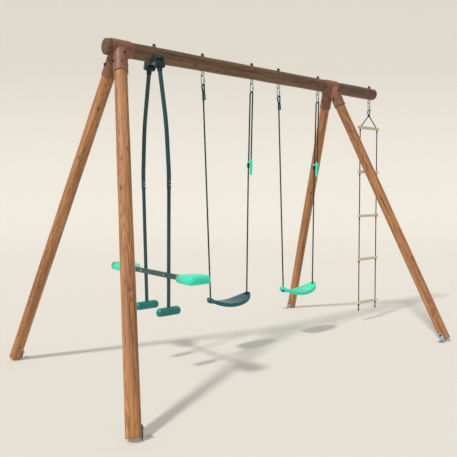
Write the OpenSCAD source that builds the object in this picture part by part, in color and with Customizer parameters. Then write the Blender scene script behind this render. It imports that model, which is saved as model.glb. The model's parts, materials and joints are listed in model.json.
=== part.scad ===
// Wooden garden swing set: two A-frames and a beam, a two-seat glider, two swings and a rope ladder.
// Millimetres, Z up, the beam along X, the ladder at the +X end.
// The origin is on the ground in the middle of the whole set's outline.

/* [Frame] */
// Height of the beam's centre line
beam_z = 2100; // [1900:10:2500]
// Length of the beam
beam_len = 2706; // [2600:10:3400]
// Thickness of the beam
beam_d = 100; // [84:1:122]
// Distance between the A-frames at the beam
frame_gap = 2010; // [2000:10:2500]
// Length of beam past the left A-frame
beam_over = 96; // [76:1:110]
// Thickness of a leg
leg_d = 80; // [66:1:90]
// Sideways lean of a leg, in degrees
leg_splay = 22.1; // [19:0.1:26]
// Lean of a leg past its end of the beam, in degrees
leg_rake = 11.3; // [4:0.1:14]
// Distance between a pair's axes at the height of the beam's centre line
leg_axes_gap = 32; // [24:1:60]
// Drop from the beam's centre line to the top end of a leg
leg_drop = 80; // [76:1:100]
// Chamfer on the ends of the logs
log_cut = 4; // [1:0.5:8]

/* [Corner connectors] */
// Wall of a connector
conn_wall = 6; // [4:0.5:9]
// Length of the sleeve outside its A-frame's centre
sleeve_out = 60; // [50:1:70]
// Length of the sleeve inside its A-frame's centre
sleeve_in = 86; // [70:1:120]
// Drop from the beam's centre line to the mouth of a leg socket
socket_low = 168; // [145:1:200]
// Drop from the beam's centre line to the start of a socket's dome
dome_drop = 38; // [30:1:45]
// Thickness of the connector bolts
conn_bolt_d = 8; // [6:1:10]
// Drop from the beam's centre line to the bolt through a leg
leg_bolt_drop = 104; // [100:1:130]

/* [Ground anchors] */
// Width of an anchor bracket
anchor_w = 40; // [36:1:60]
// Thickness of its plate
anchor_t = 5; // [3:0.5:6]
// Length of its upright above the leg's end
anchor_up = 64; // [56:1:110]
// Length of its foot on the ground
anchor_foot = 58; // [50:1:90]
// Hole for the ground screw
ground_hole_d = 11; // [8:0.5:14]
// Distance of that hole from the upright
ground_hole_at = 36; // [25:1:60]
// Length of the lag bolt in the leg
lag_len = 58; // [40:1:62]

/* [Hangers] */
// Thickness of the hanger bolts
hanger_d = 10; // [8:1:12]
// Drop from the beam's underside to the middle of an eye
eye_below = 22; // [22:1:50]
// Radius of an eye, at the middle of its wire
eye_r = 14; // [13:1:18]
// Thickness of an eye's wire
eye_wire = 8; // [6:0.5:10]
// Height of a screw link
link_h = 80; // [70:1:90]
// Width of a screw link
link_w = 32; // [30:1:40]
// Thickness of a link's wire
link_wire = 7; // [6:0.5:8]
// Height of a black cap nut
cap_h = 20; // [16:1:30]
// Thickness of a cap nut
cap_d = 22; // [18:1:26]

/* [Swings] */
// Distance from the left A-frame to the first swing's left hanger
swing_a_at = 652; // [620:1:680]
// Distance from the left A-frame to the second swing's left hanger
swing_b_at = 1393; // [1360:1:1400]
// Distance between a swing's hangers
swing_gap = 461; // [440:1:480]
// Thickness of the swing ropes
rope_d = 12; // [8:0.5:12]
// Distance between the two strands of a doubled rope
strand_gap = 28; // [26:1:34]
// Length of a swing's seat
seat_len = 394; // [380:1:450]
// Depth of a swing's seat, front to back
seat_deep = 165; // [140:1:200]
// Height of the lowest point of a seat above the ground
seat_z = 360; // [300:1:500]
// Radius of a seat's upper face
seat_bow = 400; // [300:1:420]
// Height of a seat's skirt
seat_skirt = 28; // [26:1:45]
// Wall of a seat
seat_wall = 5; // [3:0.5:5]
// Distance between the ropes at the seat
rope_gap = 347; // [320:1:360]
// Height of the top of the rope adjusters above the ground
adjuster_z = 1449; // [1200:1:1600]
// Height of an adjuster
adjuster_h = 116; // [90:1:130]
// Height of a rope clamp
clamp_h = 40; // [30:1:60]
// Thickness of the knots under a seat
seat_knot_d = 26; // [22:1:26]

/* [Glider] */
// Distance from the left A-frame to the glider
glider_at = 258; // [230:1:280]
// Distance between the two upper pivots
pivot_gap = 120; // [110:1:140]
// Drop from the beam's centre line to the upper pivots
pivot_drop = 70; // [68:1:90]
// Height of the lower pivots above the ground
bar_z = 665; // [600:1:750]
// Distance between the two lower pivots
bar_gap = 288; // [260:1:340]
// Thickness of the upper arm tubes
arm_d = 28; // [27:0.1:30]
// Thickness of the lower arm tubes
low_arm_d = 24; // [21:0.1:24]
// Wall of the arm tubes
arm_wall = 1.5; // [1:0.1:2]
// Height of the joint between upper and lower tube
joint_z = 1236; // [1150:1:1350]
// Distance between the arms at that joint
joint_gap = 318; // [300:1:360]
// Height of the middle of the foot bars
pedal_z = 420; // [380:1:480]
// Length of a foot bar
pedal_len = 180; // [150:1:220]
// Thickness of a foot bar
pedal_d = 60; // [44:1:66]
// Length of the seat bar
seat_bar_len = 940; // [900:10:950]
// How far the bar and its seats sit towards the front
bar_shift = 31; // [0:1:40]
// Width of the seat bar
seat_bar_w = 20; // [18:1:30]
// Height of the seat bar
seat_bar_h = 34; // [28:1:40]
// Distance from the middle to the inner end of a glider seat
pad_in = 256; // [240:1:260]
// Distance from the middle to the outer end of a glider seat
pad_out = 507; // [500:1:560]
// Width of a glider seat
pad_w = 158; // [130:1:240]
// Thickness of a glider seat
pad_h = 58; // [56:1:70]

/* [Rope ladder] */
// Distance from the beam's right end to the ladder's hanger
ladder_in = 55; // [45:1:160]
// Length of a rung
rung_len = 296; // [260:1:300]
// Thickness of a rung
rung_d = 26; // [26:1:36]
// Height of the top rung above the ground
rung_top_z = 1788; // [1700:1:1850]
// Distance from one rung to the next
rung_step = 402; // [300:1:410]
// Number of rungs
rung_n = 5; // [5:1:5]
// Distance between the ladder's ropes
ladder_gap = 250; // [220:1:250]
// Thickness of the ladder's ropes
cord_d = 10; // [6:0.5:10]
// Thickness of the ladder's knots
cord_knot_d = 22; // [18:1:24]
// Length of the rope tails under the lowest rung
tail_len = 70; // [50:1:100]

/* [Clearances] */
// Gap round logs, bolts and ropes that sit in a hole
fit = 0.2; // [0.1:0.05:0.4]
// Gap round pins and ropes that turn or slide in a hole
run = 0.06; // [0.02:0.01:0.1]
// Gap where one piece rests on another
rest = 0.3; // [0.1:0.05:0.5]

/* [Hidden] */
$fn = 64;
far = 4000;

function unit(v) = v / norm(v);
function along_uv(from, to, run_len) = from + unit(to - from) * run_len;
function turn(d) = d > 180 ? d - 360 : (d < -180 ? d + 360 : d);

// The front left leg, from which the other three are mirrored
beam_r = beam_d / 2;
leg_r = leg_d / 2;
frame_x = -frame_gap / 2;
leg_slope = [tan(leg_rake), tan(leg_splay), 1];
leg_up = unit(leg_slope);
leg_tilt = acos(leg_up.z);
leg_az = atan2(leg_up.y, leg_up.x);
leg_spin = atan2(-sin(leg_az), cos(leg_az) * cos(leg_tilt));
leg_low = max((leg_r - log_cut) * sin(leg_tilt), leg_r * sin(leg_tilt) - log_cut * cos(leg_tilt));
leg_foot = [frame_x, -leg_axes_gap / 2, beam_z] - leg_slope * (beam_z - leg_low);
leg_len = (beam_z - leg_drop - leg_low) / leg_up.z;
function up_leg(z) = (z - leg_low) / leg_up.z;

// Places along the beam
beam_x = frame_x - beam_over;
glider_x = frame_x + glider_at;
swing_a_x = frame_x + swing_a_at;
swing_b_x = frame_x + swing_b_at;
ladder_x = beam_x + beam_len - ladder_in;
HANGERS = [swing_a_x, swing_a_x + swing_gap, swing_b_x, swing_b_x + swing_gap, ladder_x];

// The middle of the outline, which is brought to x = 0
foot_reach = leg_r * sqrt(1 - pow(leg_up.x, 2)) - log_cut * leg_up.x;
low_x = min(leg_foot.x - foot_reach, beam_x);
high_x = max(-leg_foot.x + foot_reach, beam_x + beam_len, ladder_x + rung_len / 2);
mid_x = (low_x + high_x) / 2;

// The eye and the link, under the beam: the pivot is the middle of the link's wire where it lies in the eye
eye_drop = beam_r + eye_below;
pivot_z = beam_z - eye_drop - eye_r + eye_wire / 2 + rest + link_wire / 2;
link_r = (link_w - link_wire) / 2;
link_low = -(link_h - link_wire);
over_link = link_low + (link_wire + rope_d) / 2 + rest;

// A swing's seat, whose upper face is an arc about a line above it
seat_top_z = seat_z + seat_skirt;
seat_arc_z = seat_top_z + seat_bow;
knot_from_arc = seat_bow + seat_wall + rest + seat_knot_d / 2;
knot_z = seat_arc_z - sqrt(pow(knot_from_arc, 2) - pow(rope_gap / 2, 2));
rope_in = (swing_gap - rope_gap) / 2;
rope_lean = atan2(rope_in, pivot_z - knot_z);
rope_len = norm([rope_in, pivot_z - knot_z]);
seat_tilt = 25;
ear_r = 40;
pan_half = 60;
rim_up = 5;
rim_w = 5;

// The doubled rope and its adjuster, measured down from the pivot
strand = strand_gap / 2;
adjuster_at = -(pivot_z - adjuster_z) / cos(rope_lean);
adjuster_low = adjuster_at - adjuster_h;
adjuster_w = 18;
bridge_drop = 12;
bridge_h = 12;
slip_knot_d = 24;

// The clamped eye of the single rope, measured down from the pivot
clamp_top = link_low - 60;
clamp_low = clamp_top - clamp_h;
clamp_pitch = rope_d + 0.6;
eye_bend = 12;
eye_half = 15.5;

// The glider, in a plane across the beam: u is the distance from the middle, v is the height
pivot_uv = [pivot_gap / 2, beam_z - pivot_drop];
joint_uv = [joint_gap / 2, joint_z];
bar_uv = [bar_gap / 2, bar_z];
pedal_uv = bar_uv + (bar_uv - joint_uv) * (bar_z - pedal_z) / (joint_z - bar_z);
low_end_uv = pedal_uv + unit(bar_uv - pedal_uv) * 4;
low_top_uv = joint_uv - unit(bar_uv - joint_uv) * 30;
upper_bend_uv = [137, joint_z + 0.51 * (beam_z - pivot_drop - joint_z)];
lap = 80;
hub_len = 60;
hub_r = 22;
hub_neck = 46;
tube_in = 15;
bracket_t = 5;
bracket_gap = 0.5;
bracket_in = hub_len / 2 + bracket_gap;
pivot_bolt_d = 10;
bar_bolt_d = 8;
spacer_t = 1.5;
bar_x = -(low_arm_d / 2 + rest + spacer_t + seat_bar_w / 2);
pad_wall = 4;
pad_lift = 9;

// The rope ladder
function rung_z(i) = rung_top_z - i * rung_step;
bridle_top_z = pivot_z + link_low + link_wire / 2 + rest + cord_d / 2;
bridle_knot_z = 1905;
rung_clear = rung_d / 2 + rest;
cord_up = sqrt(pow(rung_clear, 2) - pow(cord_d / 2, 2)) - rest;

// ---- shared shapes ----

module placed() {
    translate([-mid_x, 0, 0])
        children();
}

// What is made for the front left, moved to another corner
module at_corner(right, back) {
    if (right && back)
        mirror([1, 0, 0]) mirror([0, 1, 0]) children();
    else if (right)
        mirror([1, 0, 0]) children();
    else if (back)
        mirror([0, 1, 0]) children();
    else
        children();
}

// The frame of the front left leg: z runs up its axis from its end, x points inwards
module leg_frame() {
    translate(leg_foot)
        rotate([0, leg_tilt, leg_az])
            rotate([0, 0, leg_spin])
                children();
}

module log_of(d, length, cut) {
    cylinder(d1 = d - 2 * cut, d2 = d, h = cut);
    translate([0, 0, cut])
        cylinder(d = d, h = length - 2 * cut);
    translate([0, 0, length - cut])
        cylinder(d1 = d, d2 = d - 2 * cut, h = cut);
}

// A round bar along a flat path in x and y, with a bend radius for each inner point, and
// a ball a hair wider at every seam; a radius of nothing leaves the ball alone
module bar_along(pts, radii, d, ball = 0.1) {
    n = len(pts);
    heads = [for (i = [0 : n - 2]) atan2(pts[i + 1].y - pts[i].y, pts[i + 1].x - pts[i].x)];
    turns = [for (i = [0 : n - 1]) i == 0 || i == n - 1 ? 0 : turn(heads[i] - heads[i - 1])];
    cuts = [for (i = [0 : n - 1]) i == 0 || i == n - 1 ? 0 : radii[i - 1] * tan(abs(turns[i]) / 2)];
    for (i = [0 : n - 2]) {
        ahead = [cos(heads[i]), sin(heads[i])];
        start = pts[i] + cuts[i] * ahead;
        end = pts[i + 1] - cuts[i + 1] * ahead;
        span = norm(end - start);
        if (span > ball)
            translate([start.x, start.y, 0])
                rotate([0, 90, heads[i]])
                    cylinder(d = d, h = span);
        if (i > 0)
            translate([start.x, start.y, 0])
                sphere(d = d + ball);
        if (i < n - 2 && cuts[i + 1] > 0 && span > ball)
            translate([end.x, end.y, 0])
                sphere(d = d + ball);
    }
    for (i = [1 : 1 : n - 2])
        if (cuts[i] > 0) {
            side = sign(turns[i]);
            a = heads[i - 1];
            start = pts[i] - cuts[i] * [cos(a), sin(a)];
            centre = start + radii[i - 1] * side * [-sin(a), cos(a)];
            translate([centre.x, centre.y, 0])
                rotate([0, 0, side > 0 ? a - 90 : heads[i] + 90])
                    rotate_extrude(angle = abs(turns[i]))
                        translate([radii[i - 1], 0])
                            circle(d = d);
        }
}

// Takes a flat shape from x and y to Y and Z, across the beam
module across_beam() {
    rotate([90, 0, 90])
        children();
}

// Takes a flat shape from x and y to X and Z, along the beam
module along_beam() {
    rotate([90, 0, 0])
        children();
}

module bar_2d(from, to, w) {
    a = atan2(to.y - from.y, to.x - from.x);
    translate(from)
        rotate(a)
            translate([0, -w / 2])
                square([norm(to - from), w]);
}

module rounded_2d(w, h, r) {
    square([w - 2 * r, h], center = true);
    square([w, h - 2 * r], center = true);
    for (x = [-1, 1], y = [-1, 1])
        translate([x * (w / 2 - r), y * (h / 2 - r)])
            circle(r);
}

module stadium_2d(half, r) {
    square([2 * r, 2 * half], center = true);
    for (s = [-1, 1])
        translate([0, s * half])
            circle(r);
}

// A dome-headed cap nut on a bolt that ends inside it: its flat face is at z = 0
module cap_nut(d, h, bolt_d) {
    difference() {
        dome(d, h);
        translate([0, 0, -1])
            cylinder(d = bolt_d + 2 * fit, h = h - 6 + 1);
    }
}

module dome(d, h) {
    flat = h - d / 2;
    cylinder(d = d, h = flat);
    translate([0, 0, flat])
        intersection() {
            sphere(d = d);
            cylinder(d = d, h = d);
        }
}

module hex_nut(across, h, bolt_d) {
    difference() {
        cylinder(d = across / cos(30), h = h, $fn = 6);
        translate([0, 0, -1])
            cylinder(d = bolt_d + 2 * fit, h = h + 2);
    }
}

// ---- frame ----

module beam() {
    color("#7a5638")
        placed()
            difference() {
                translate([beam_x, 0, beam_z])
                    rotate([0, 90, 0])
                        log_of(beam_d, beam_len, log_cut);
                for (x = concat(HANGERS, [glider_x]))
                    translate([x, 0, beam_z - beam_d])
                        cylinder(d = hanger_d + 2 * fit, h = 2 * beam_d);
                for (right = [false, true])
                    at_corner(right, false) {
                        cross_bolt_hole();
                        screw_holes();
                    }
            }
}

module leg(right, back) {
    color("#b5793f")
        placed()
            at_corner(right, back)
                difference() {
                    leg_frame()
                        log_of(leg_d, leg_len, log_cut);
                    leg_bolt_hole();
                    leg_screw_hole();
                    lag_hole();
                }
}

module leg_socket() {
    leg_frame() {
        translate([0, 0, up_leg(beam_z - socket_low)])
            cylinder(r = leg_r + conn_wall, h = (socket_low - dome_drop) / leg_up.z);
        translate([0, 0, up_leg(beam_z - dome_drop)])
            sphere(r = leg_r + conn_wall);
    }
}

module connector(right) {
    taper = 22;
    color("#8c5c42")
        placed()
            at_corner(right, false)
                difference() {
                    union() {
                        translate([frame_x - sleeve_out, 0, beam_z])
                            rotate([0, 90, 0]) {
                                cylinder(r = beam_r + conn_wall, h = sleeve_out + sleeve_in - taper);
                                translate([0, 0, sleeve_out + sleeve_in - taper])
                                    cylinder(r1 = beam_r + conn_wall, r2 = beam_r + 1.5, h = taper);
                            }
                        leg_socket();
                        at_corner(false, true)
                            leg_socket();
                        cross_bolt_at()
                            cylinder(r = boss_r, h = 2 * cross_half, center = true);
                    }
                    translate([frame_x - far / 2, 0, beam_z])
                        rotate([0, 90, 0])
                            cylinder(r = beam_r + fit, h = far);
                    for (back = [false, true])
                        at_corner(false, back) {
                            leg_frame()
                                cylinder(r = leg_r + fit, h = leg_len + rest);
                            leg_bolt_hole();
                            leg_screw_hole();
                        }
                    cross_bolt_hole();
                    screw_holes();
                }
}

// The bolt through a socket and the top of its leg
module leg_bolt_at() {
    leg_frame()
        translate([0, 0, up_leg(beam_z - leg_bolt_drop)])
            rotate([0, 90, 0])
                children();
}

module leg_bolt_hole() {
    leg_bolt_at()
        cylinder(d = conn_bolt_d + 2 * fit, h = 4 * leg_d, center = true);
}

// The bolt across the beam through both domes
cross_drop = 37;
cross_in = 6;
boss_r = 12;
cross_half = leg_axes_gap / 2 + tan(leg_splay) * (cross_drop + boss_r) + (leg_r + conn_wall) / cos(leg_splay);
module cross_bolt_at() {
    translate([frame_x - cross_in, 0, beam_z - cross_drop])
        rotate([90, 0, 0])
            children();
}

module cross_bolt_hole() {
    cross_bolt_at()
        cylinder(d = conn_bolt_d + 2 * fit, h = 4 * leg_d, center = true);
}

// A bolt with a domed head at -half and a low nut at half
module bolt_and_cap(half) {
    nut_h = 5;
    translate([0, 0, -half - 2])
        cylinder(d = conn_bolt_d, h = 2 * half + nut_h + 3);
    translate([0, 0, -half])
        mirror([0, 0, 1])
            dome(18, 12);
    translate([0, 0, half])
        hex_nut(conn_bolt_d * 1.625, nut_h, conn_bolt_d);
}

module connector_bolts() {
    color("#26211f")
        placed()
            for (right = [false, true])
                at_corner(right, false) {
                    for (back = [false, true])
                        at_corner(false, back)
                            leg_bolt_at()
                                bolt_and_cap(leg_r + conn_wall + rest);
                    cross_bolt_at()
                        bolt_and_cap(cross_half + rest);
                }
}

screw_in = 52;
screw_d = 5;
screw_deep = 22;
leg_screw_turn = 12;
module screws_at() {
    for (side = [-1, 1])
        translate([frame_x + screw_in, 0, beam_z])
            rotate([side * 92, 0, 0])
                children();
}

module screw_holes() {
    screws_at()
        translate([0, 0, beam_r - screw_deep - 2])
            cylinder(d = screw_d + 2 * fit, h = 60);
}

// The screw into the outer side of a leg, below the bolt
module leg_screw_at() {
    leg_frame()
        translate([0, 0, up_leg(beam_z - leg_bolt_drop - 12)])
            rotate([90, 0, -leg_screw_turn])
                children();
}

module leg_screw_hole() {
    leg_screw_at()
        translate([0, 0, leg_r - screw_deep - 2])
            cylinder(d = screw_d + 2 * fit, h = 60);
}

module connector_screws() {
    color("#26211f")
        placed()
            for (right = [false, true])
                at_corner(right, false) {
                    screws_at()
                        screw(beam_r);
                    for (back = [false, true])
                        at_corner(false, back)
                            leg_screw_at()
                                screw(leg_r);
                }
}

// A screw through a connector's wall, into a log of this radius
module screw(r) {
    translate([0, 0, r - screw_deep])
        cylinder(d = screw_d, h = screw_deep + conn_wall + rest + 1);
    translate([0, 0, r + conn_wall + rest])
        cylinder(d1 = 12, d2 = 8, h = 3.5);
}

// ---- ground anchors ----

// Where the upright's middle meets the ground, beside the front left leg
anchor_off = leg_r + fit + anchor_t / 2;
leg_in = unit([1 - pow(leg_up.x, 2), -leg_up.x * leg_up.y, -leg_up.x * leg_up.z]);
anchor_run = -(leg_foot.z + leg_in.z * anchor_off) / leg_up.z;
anchor_at = leg_foot + leg_in * anchor_off + leg_up * anchor_run;
ground_hole = [anchor_at.x + ground_hole_at, anchor_at.y];
lag_up = anchor_up - anchor_w / 2;

module anchor(right, back) {
    color("#c3c7c9")
        placed()
            at_corner(right, back)
                difference() {
                    union() {
                        leg_frame()
                            translate([leg_r + fit, 0, 0])
                                rotate([90, 0, 90])
                                    linear_extrude(anchor_t) {
                                        translate([-anchor_w / 2, -50])
                                            square([anchor_w, lag_up + 50]);
                                        translate([0, lag_up])
                                            circle(d = anchor_w);
                                    }
                        translate([anchor_at.x, anchor_at.y - anchor_w / 2, 0])
                            cube([anchor_foot, anchor_w, anchor_t]);
                    }
                    translate([anchor_at.x - 200, anchor_at.y - 200, -400])
                        cube([400, 400, 400]);
                    translate([ground_hole.x, ground_hole.y, -10])
                        cylinder(d = ground_hole_d, h = 30);
                    lag_hole();
                }
}

module lag_at() {
    leg_frame()
        translate([leg_r + fit + anchor_t, 0, lag_up])
            rotate([0, -90, 0])
                children();
}

module lag_hole() {
    lag_at()
        translate([0, 0, -30])
            cylinder(d = conn_bolt_d + 2 * fit, h = lag_len + 32);
}

module anchor_bolts() {
    color("#26211f")
        placed()
            for (right = [false, true], back = [false, true])
                at_corner(right, back)
                    lag_at()
                        translate([0, 0, -rest]) {
                            cylinder(d = conn_bolt_d, h = lag_len);
                            mirror([0, 0, 1])
                                dome(18, 12);
                        }
}

// ---- hangers ----

washer_t = 2.5;
washer_d = 30;
module hanger_eyes() {
    eye_z = beam_z - eye_drop;
    color("#c9cdd2")
        placed()
            for (x = HANGERS)
                translate([x, 0, 0]) {
                    translate([0, 0, eye_z + eye_r])
                        cylinder(d = hanger_d, h = eye_drop - eye_r + beam_r + washer_t + 10);
                    translate([0, 0, eye_z])
                        across_beam()
                            rotate_extrude()
                                translate([eye_r, 0])
                                    circle(d = eye_wire);
                }
}

module hanger_caps() {
    color("#1d1d1f")
        placed()
            for (x = concat(HANGERS, [glider_x]))
                translate([x, 0, beam_z + beam_r + fit + washer_t + rest])
                    cap_nut(cap_d, cap_h, hanger_d);
}

module washer(z) {
    translate([0, 0, z])
        difference() {
            cylinder(d = washer_d, h = washer_t);
            translate([0, 0, -1])
                cylinder(d = hanger_d + 2 * fit, h = washer_t + 2);
        }
}

module hanger_washers() {
    color("#c9cdd2")
        placed() {
            for (x = concat(HANGERS, [glider_x]))
                translate([x, 0, beam_z + beam_r + fit])
                    washer(0);
            for (x = HANGERS)
                translate([x, 0, beam_z - beam_r - fit - washer_t])
                    washer(0);
        }
}

// ---- swings ----

// The frame of a hanging rope: the pivot is its origin, and the rope runs down z
module hang_at(x, lean) {
    translate([x, 0, pivot_z])
        rotate([0, lean, 0])
            children();
}

module left_hang(x) {
    hang_at(x, -rope_lean)
        children();
}

module right_hang(x) {
    hang_at(x + swing_gap, rope_lean)
        children();
}

module link() {
    half = link_r;
    for (end = [[0, -half], [180, link_low + half]])
        translate([0, 0, end[1]])
            along_beam()
                rotate([0, 0, end[0]])
                    rotate_extrude(angle = 180)
                        translate([half, 0])
                            circle(d = link_wire);
    for (s = [-1, 1])
        translate([s * half, 0, link_low + half])
            cylinder(d = link_wire, h = -link_low - 2 * half);
    translate([half, 0, -link_h / 2 - 9])
        difference() {
            cylinder(d = 13, h = 22, $fn = 6);
            translate([0, 0, -1])
                cylinder(d = link_wire + 2 * fit, h = 24);
        }
}

module swing_links(x) {
    color("#c9cdd2")
        placed() {
            left_hang(x)
                link();
            right_hang(x)
                link();
        }
}

module swing_rope_left(x) {
    route = [[-clamp_pitch, clamp_low], [-clamp_pitch, clamp_top], [-eye_half, over_link],
        [eye_half, over_link], [0, clamp_top], [0, -rope_len]];
    color("#3a4a42")
        placed()
            left_hang(x) {
                across_beam()
                    bar_along(route, [0, eye_bend, eye_bend, 0], rope_d);
                translate([0, 0, -rope_len])
                    sphere(d = seat_knot_d);
            }
}

module swing_clamp(x) {
    color("#2e5a4c")
        placed()
            left_hang(x)
                translate([0, -clamp_pitch / 2, clamp_low + rest])
                    linear_extrude(clamp_h - 2 * rest)
                        difference() {
                            stadium_2d(clamp_pitch / 2, rope_d / 2 + 3);
                            for (s = [-1, 1])
                                translate([0, s * clamp_pitch / 2])
                                    circle(d = rope_d + 2 * run);
                        }
}

module swing_rope_right(x) {
    dead_end = adjuster_low + 20;
    bend_at = adjuster_low - 30;
    route = [[-strand, dead_end], [-strand, over_link], [strand, over_link],
        [strand, bend_at], [0, -rope_len]];
    color("#3a4a42")
        placed()
            right_hang(x) {
                across_beam()
                    bar_along(route, [strand, strand, 0], rope_d);
                translate([0, 0, -rope_len])
                    sphere(d = seat_knot_d);
            }
}

// A slim bar round the rope's tail, with a bridge to the strand that carries the seat
module swing_adjuster(x) {
    color("#45d9ad")
        placed()
            right_hang(x)
                difference() {
                    union() {
                        translate([0, -strand, adjuster_low])
                            linear_extrude(adjuster_h)
                                rounded_2d(adjuster_w, adjuster_w, 6);
                        translate([0, 0, adjuster_at - bridge_drop - bridge_h])
                            linear_extrude(bridge_h)
                                stadium_2d(strand, rope_d / 2 + 4);
                    }
                    for (s = [-1, 1])
                        translate([0, s * strand, adjuster_low - 10])
                            cylinder(d = rope_d + 2 * run, h = adjuster_h + 20);
                }
}

// The knot under the bridge, as two turns of cord
module swing_adjuster_knot(x) {
    top = adjuster_at - bridge_drop - bridge_h - rest;
    color("#20241f")
        placed()
            right_hang(x)
                translate([0, strand, 0])
                    difference() {
                        for (i = [0, 1])
                            translate([0, 0, top - slip_knot_d / 2 - i * 15])
                                sphere(d = slip_knot_d - 3 * i);
                        translate([0, 0, top - 3 * slip_knot_d])
                            cylinder(d = rope_d + 2 * run, h = 4 * slip_knot_d);
                    }
}

// An arc of a seat, between two distances from the line above it
module seat_arc(near, away, deep) {
    translate([0, deep / 2, seat_arc_z])
        along_beam()
            linear_extrude(deep)
                intersection() {
                    difference() {
                        circle(away, $fn = 180);
                        circle(near, $fn = 180);
                    }
                    translate([-seat_len, -2 * seat_bow])
                        square([2 * seat_len, 2 * seat_bow - 20]);
                }
}

// A seat's outline: a full-depth pan that tapers to a round ear at each end
module seat_plan_2d(inset) {
    ear_at = seat_len / 2 - ear_r;
    fall = (seat_deep / 2 - ear_r) / (ear_at - pan_half);
    steep = sqrt(1 + fall * fall);
    flat = [pan_half - inset * (steep - 1) / fall, seat_deep / 2 - inset];
    end = [ear_at, ear_r - inset * steep];
    polygon([[-end.x, -end.y], [-flat.x, -flat.y], [flat.x, -flat.y], [end.x, -end.y],
        [end.x, end.y], [flat.x, flat.y], [-flat.x, flat.y], [-end.x, end.y]]);
    for (s = [-1, 1])
        translate([s * ear_at, 0])
            circle(ear_r - inset);
}

module swing_seat(x, tint) {
    slot_r = rope_d / 2 + 1.6;
    slot_up = seat_knot_d / 2 + (seat_wall + rim_up) / cos(asin(rope_gap / 2 / seat_bow)) + 6;
    slot_half = slot_up * tan(seat_tilt) + rope_d / 2 / cos(seat_tilt) + rest - slot_r;
    color(tint)
        placed()
            translate([x + swing_gap / 2, 0, 0])
                difference() {
                    union() {
                        difference() {
                            intersection() {
                                seat_arc(seat_bow, seat_bow + seat_skirt, 2 * seat_deep);
                                translate([0, 0, seat_z - 50])
                                    linear_extrude(400)
                                        seat_plan_2d(0);
                            }
                            intersection() {
                                seat_arc(seat_bow + seat_wall, seat_bow + seat_skirt + 60, 2 * seat_deep);
                                translate([0, 0, seat_z - 100])
                                    linear_extrude(500)
                                        seat_plan_2d(seat_wall);
                            }
                        }
                        intersection() {
                            seat_arc(seat_bow - rim_up, seat_bow + 2, seat_deep);
                            for (s = [-1, 1])
                                translate([s * rope_gap / 2, 0, seat_z])
                                    linear_extrude(400)
                                        stadium_2d(slot_half, slot_r + rim_w);
                        }
                    }
                    for (s = [-1, 1])
                        translate([s * (rope_gap / 2 + 0.6), 0, seat_z])
                            linear_extrude(400)
                                stadium_2d(slot_half, slot_r);
                }
}

// ---- glider ----

module glider_at_x() {
    translate([glider_x, 0, 0])
        children();
}

module glider_bracket() {
    strut_w = 30;
    color("#23464a")
        placed()
            glider_at_x()
                difference() {
                    union() {
                        for (s = [-1, 1])
                            translate([s * (bracket_in + bracket_t / 2) - bracket_t / 2, 0, 0])
                                across_beam()
                                    linear_extrude(bracket_t)
                                        translate([0, beam_z])
                                            bracket_plate_2d(strut_w);
                        translate([-bracket_in - bracket_t / 2, 0, 0])
                            across_beam()
                                linear_extrude(2 * bracket_in + bracket_t)
                                    translate([0, beam_z])
                                        lower_ring_2d(beam_r + rest, beam_r + rest + 4);
                    }
                    glider_pivots()
                        cylinder(d = pivot_bolt_d + 2 * fit, h = 200, center = true);
                    translate([0, 0, beam_z - beam_d])
                        cylinder(d = hanger_d + 2 * fit, h = beam_d);
                }
}

module lower_ring_2d(inner, outer) {
    difference() {
        circle(outer);
        circle(inner);
        translate([-far, -18])
            square([2 * far, far]);
    }
}

module bracket_plate_2d(strut_w) {
    drop = [0, -pivot_drop];
    lower_ring_2d(beam_r + rest, beam_r + 16);
    difference() {
        for (s = [-1, 1]) {
            bar_2d([s * 20, -beam_r - 2], [s * pivot_gap / 2, -pivot_drop], strut_w);
            bar_2d([s * (beam_r + 3), -20], [s * pivot_gap / 2, -pivot_drop], strut_w - 6);
            translate([s * pivot_gap / 2, -pivot_drop])
                circle(20);
        }
        circle(beam_r + rest);
    }
}

// The two upper pivots, along the beam
module glider_pivots() {
    for (s = [-1, 1])
        translate([0, s * pivot_uv.x, pivot_uv.y])
            rotate([0, 90, 0])
                children();
}

module glider_pivot_bolts() {
    half = bracket_in + bracket_t;
    color("#c9cdd2")
        placed()
            glider_at_x() {
                glider_pivots() {
                    translate([0, 0, -half - rest])
                        cylinder(d = pivot_bolt_d, h = 2 * half + 14);
                    translate([0, 0, -half - rest - 7])
                        cylinder(d = 17 / cos(30), h = 7, $fn = 6);
                    translate([0, 0, half + rest])
                        hex_nut(17, 9, pivot_bolt_d);
                }
                translate([0, 0, beam_z - beam_r - 20])
                    cylinder(d = hanger_d, h = beam_d + 20 + washer_t + 10);
                translate([0, 0, beam_z - beam_r - 4 - 2 * rest - 9])
                    hex_nut(17, 9, hanger_d);
            }
}

// What is made for the back arm, put in the plane of one of the arms
module arm_side(back) {
    placed()
        glider_at_x()
            at_corner(false, !back)
                children();
}

module arm_hub(back) {
    color("#1a2433")
        arm_side(back)
            translate([0, pivot_uv.x, pivot_uv.y])
                rotate([-arm_lean - 180, 0, 0])
                    difference() {
                        union() {
                            rotate([0, 90, 0])
                                cylinder(r = hub_r, h = hub_len, center = true);
                            cylinder(d = arm_d + 6, h = hub_neck);
                        }
                        rotate([0, 90, 0])
                            cylinder(d = pivot_bolt_d + 2 * run, h = 2 * hub_len, center = true);
                        translate([0, 0, tube_in])
                            cylinder(d = arm_d + 2 * fit, h = far);
                    }
}

arm_lean = -atan2(upper_bend_uv.x - pivot_uv.x, pivot_uv.y - upper_bend_uv.y);
arm_top_uv = along_uv(pivot_uv, upper_bend_uv, tube_in + rest);
lap_uv = along_uv(joint_uv, bar_uv, -lap);

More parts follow.
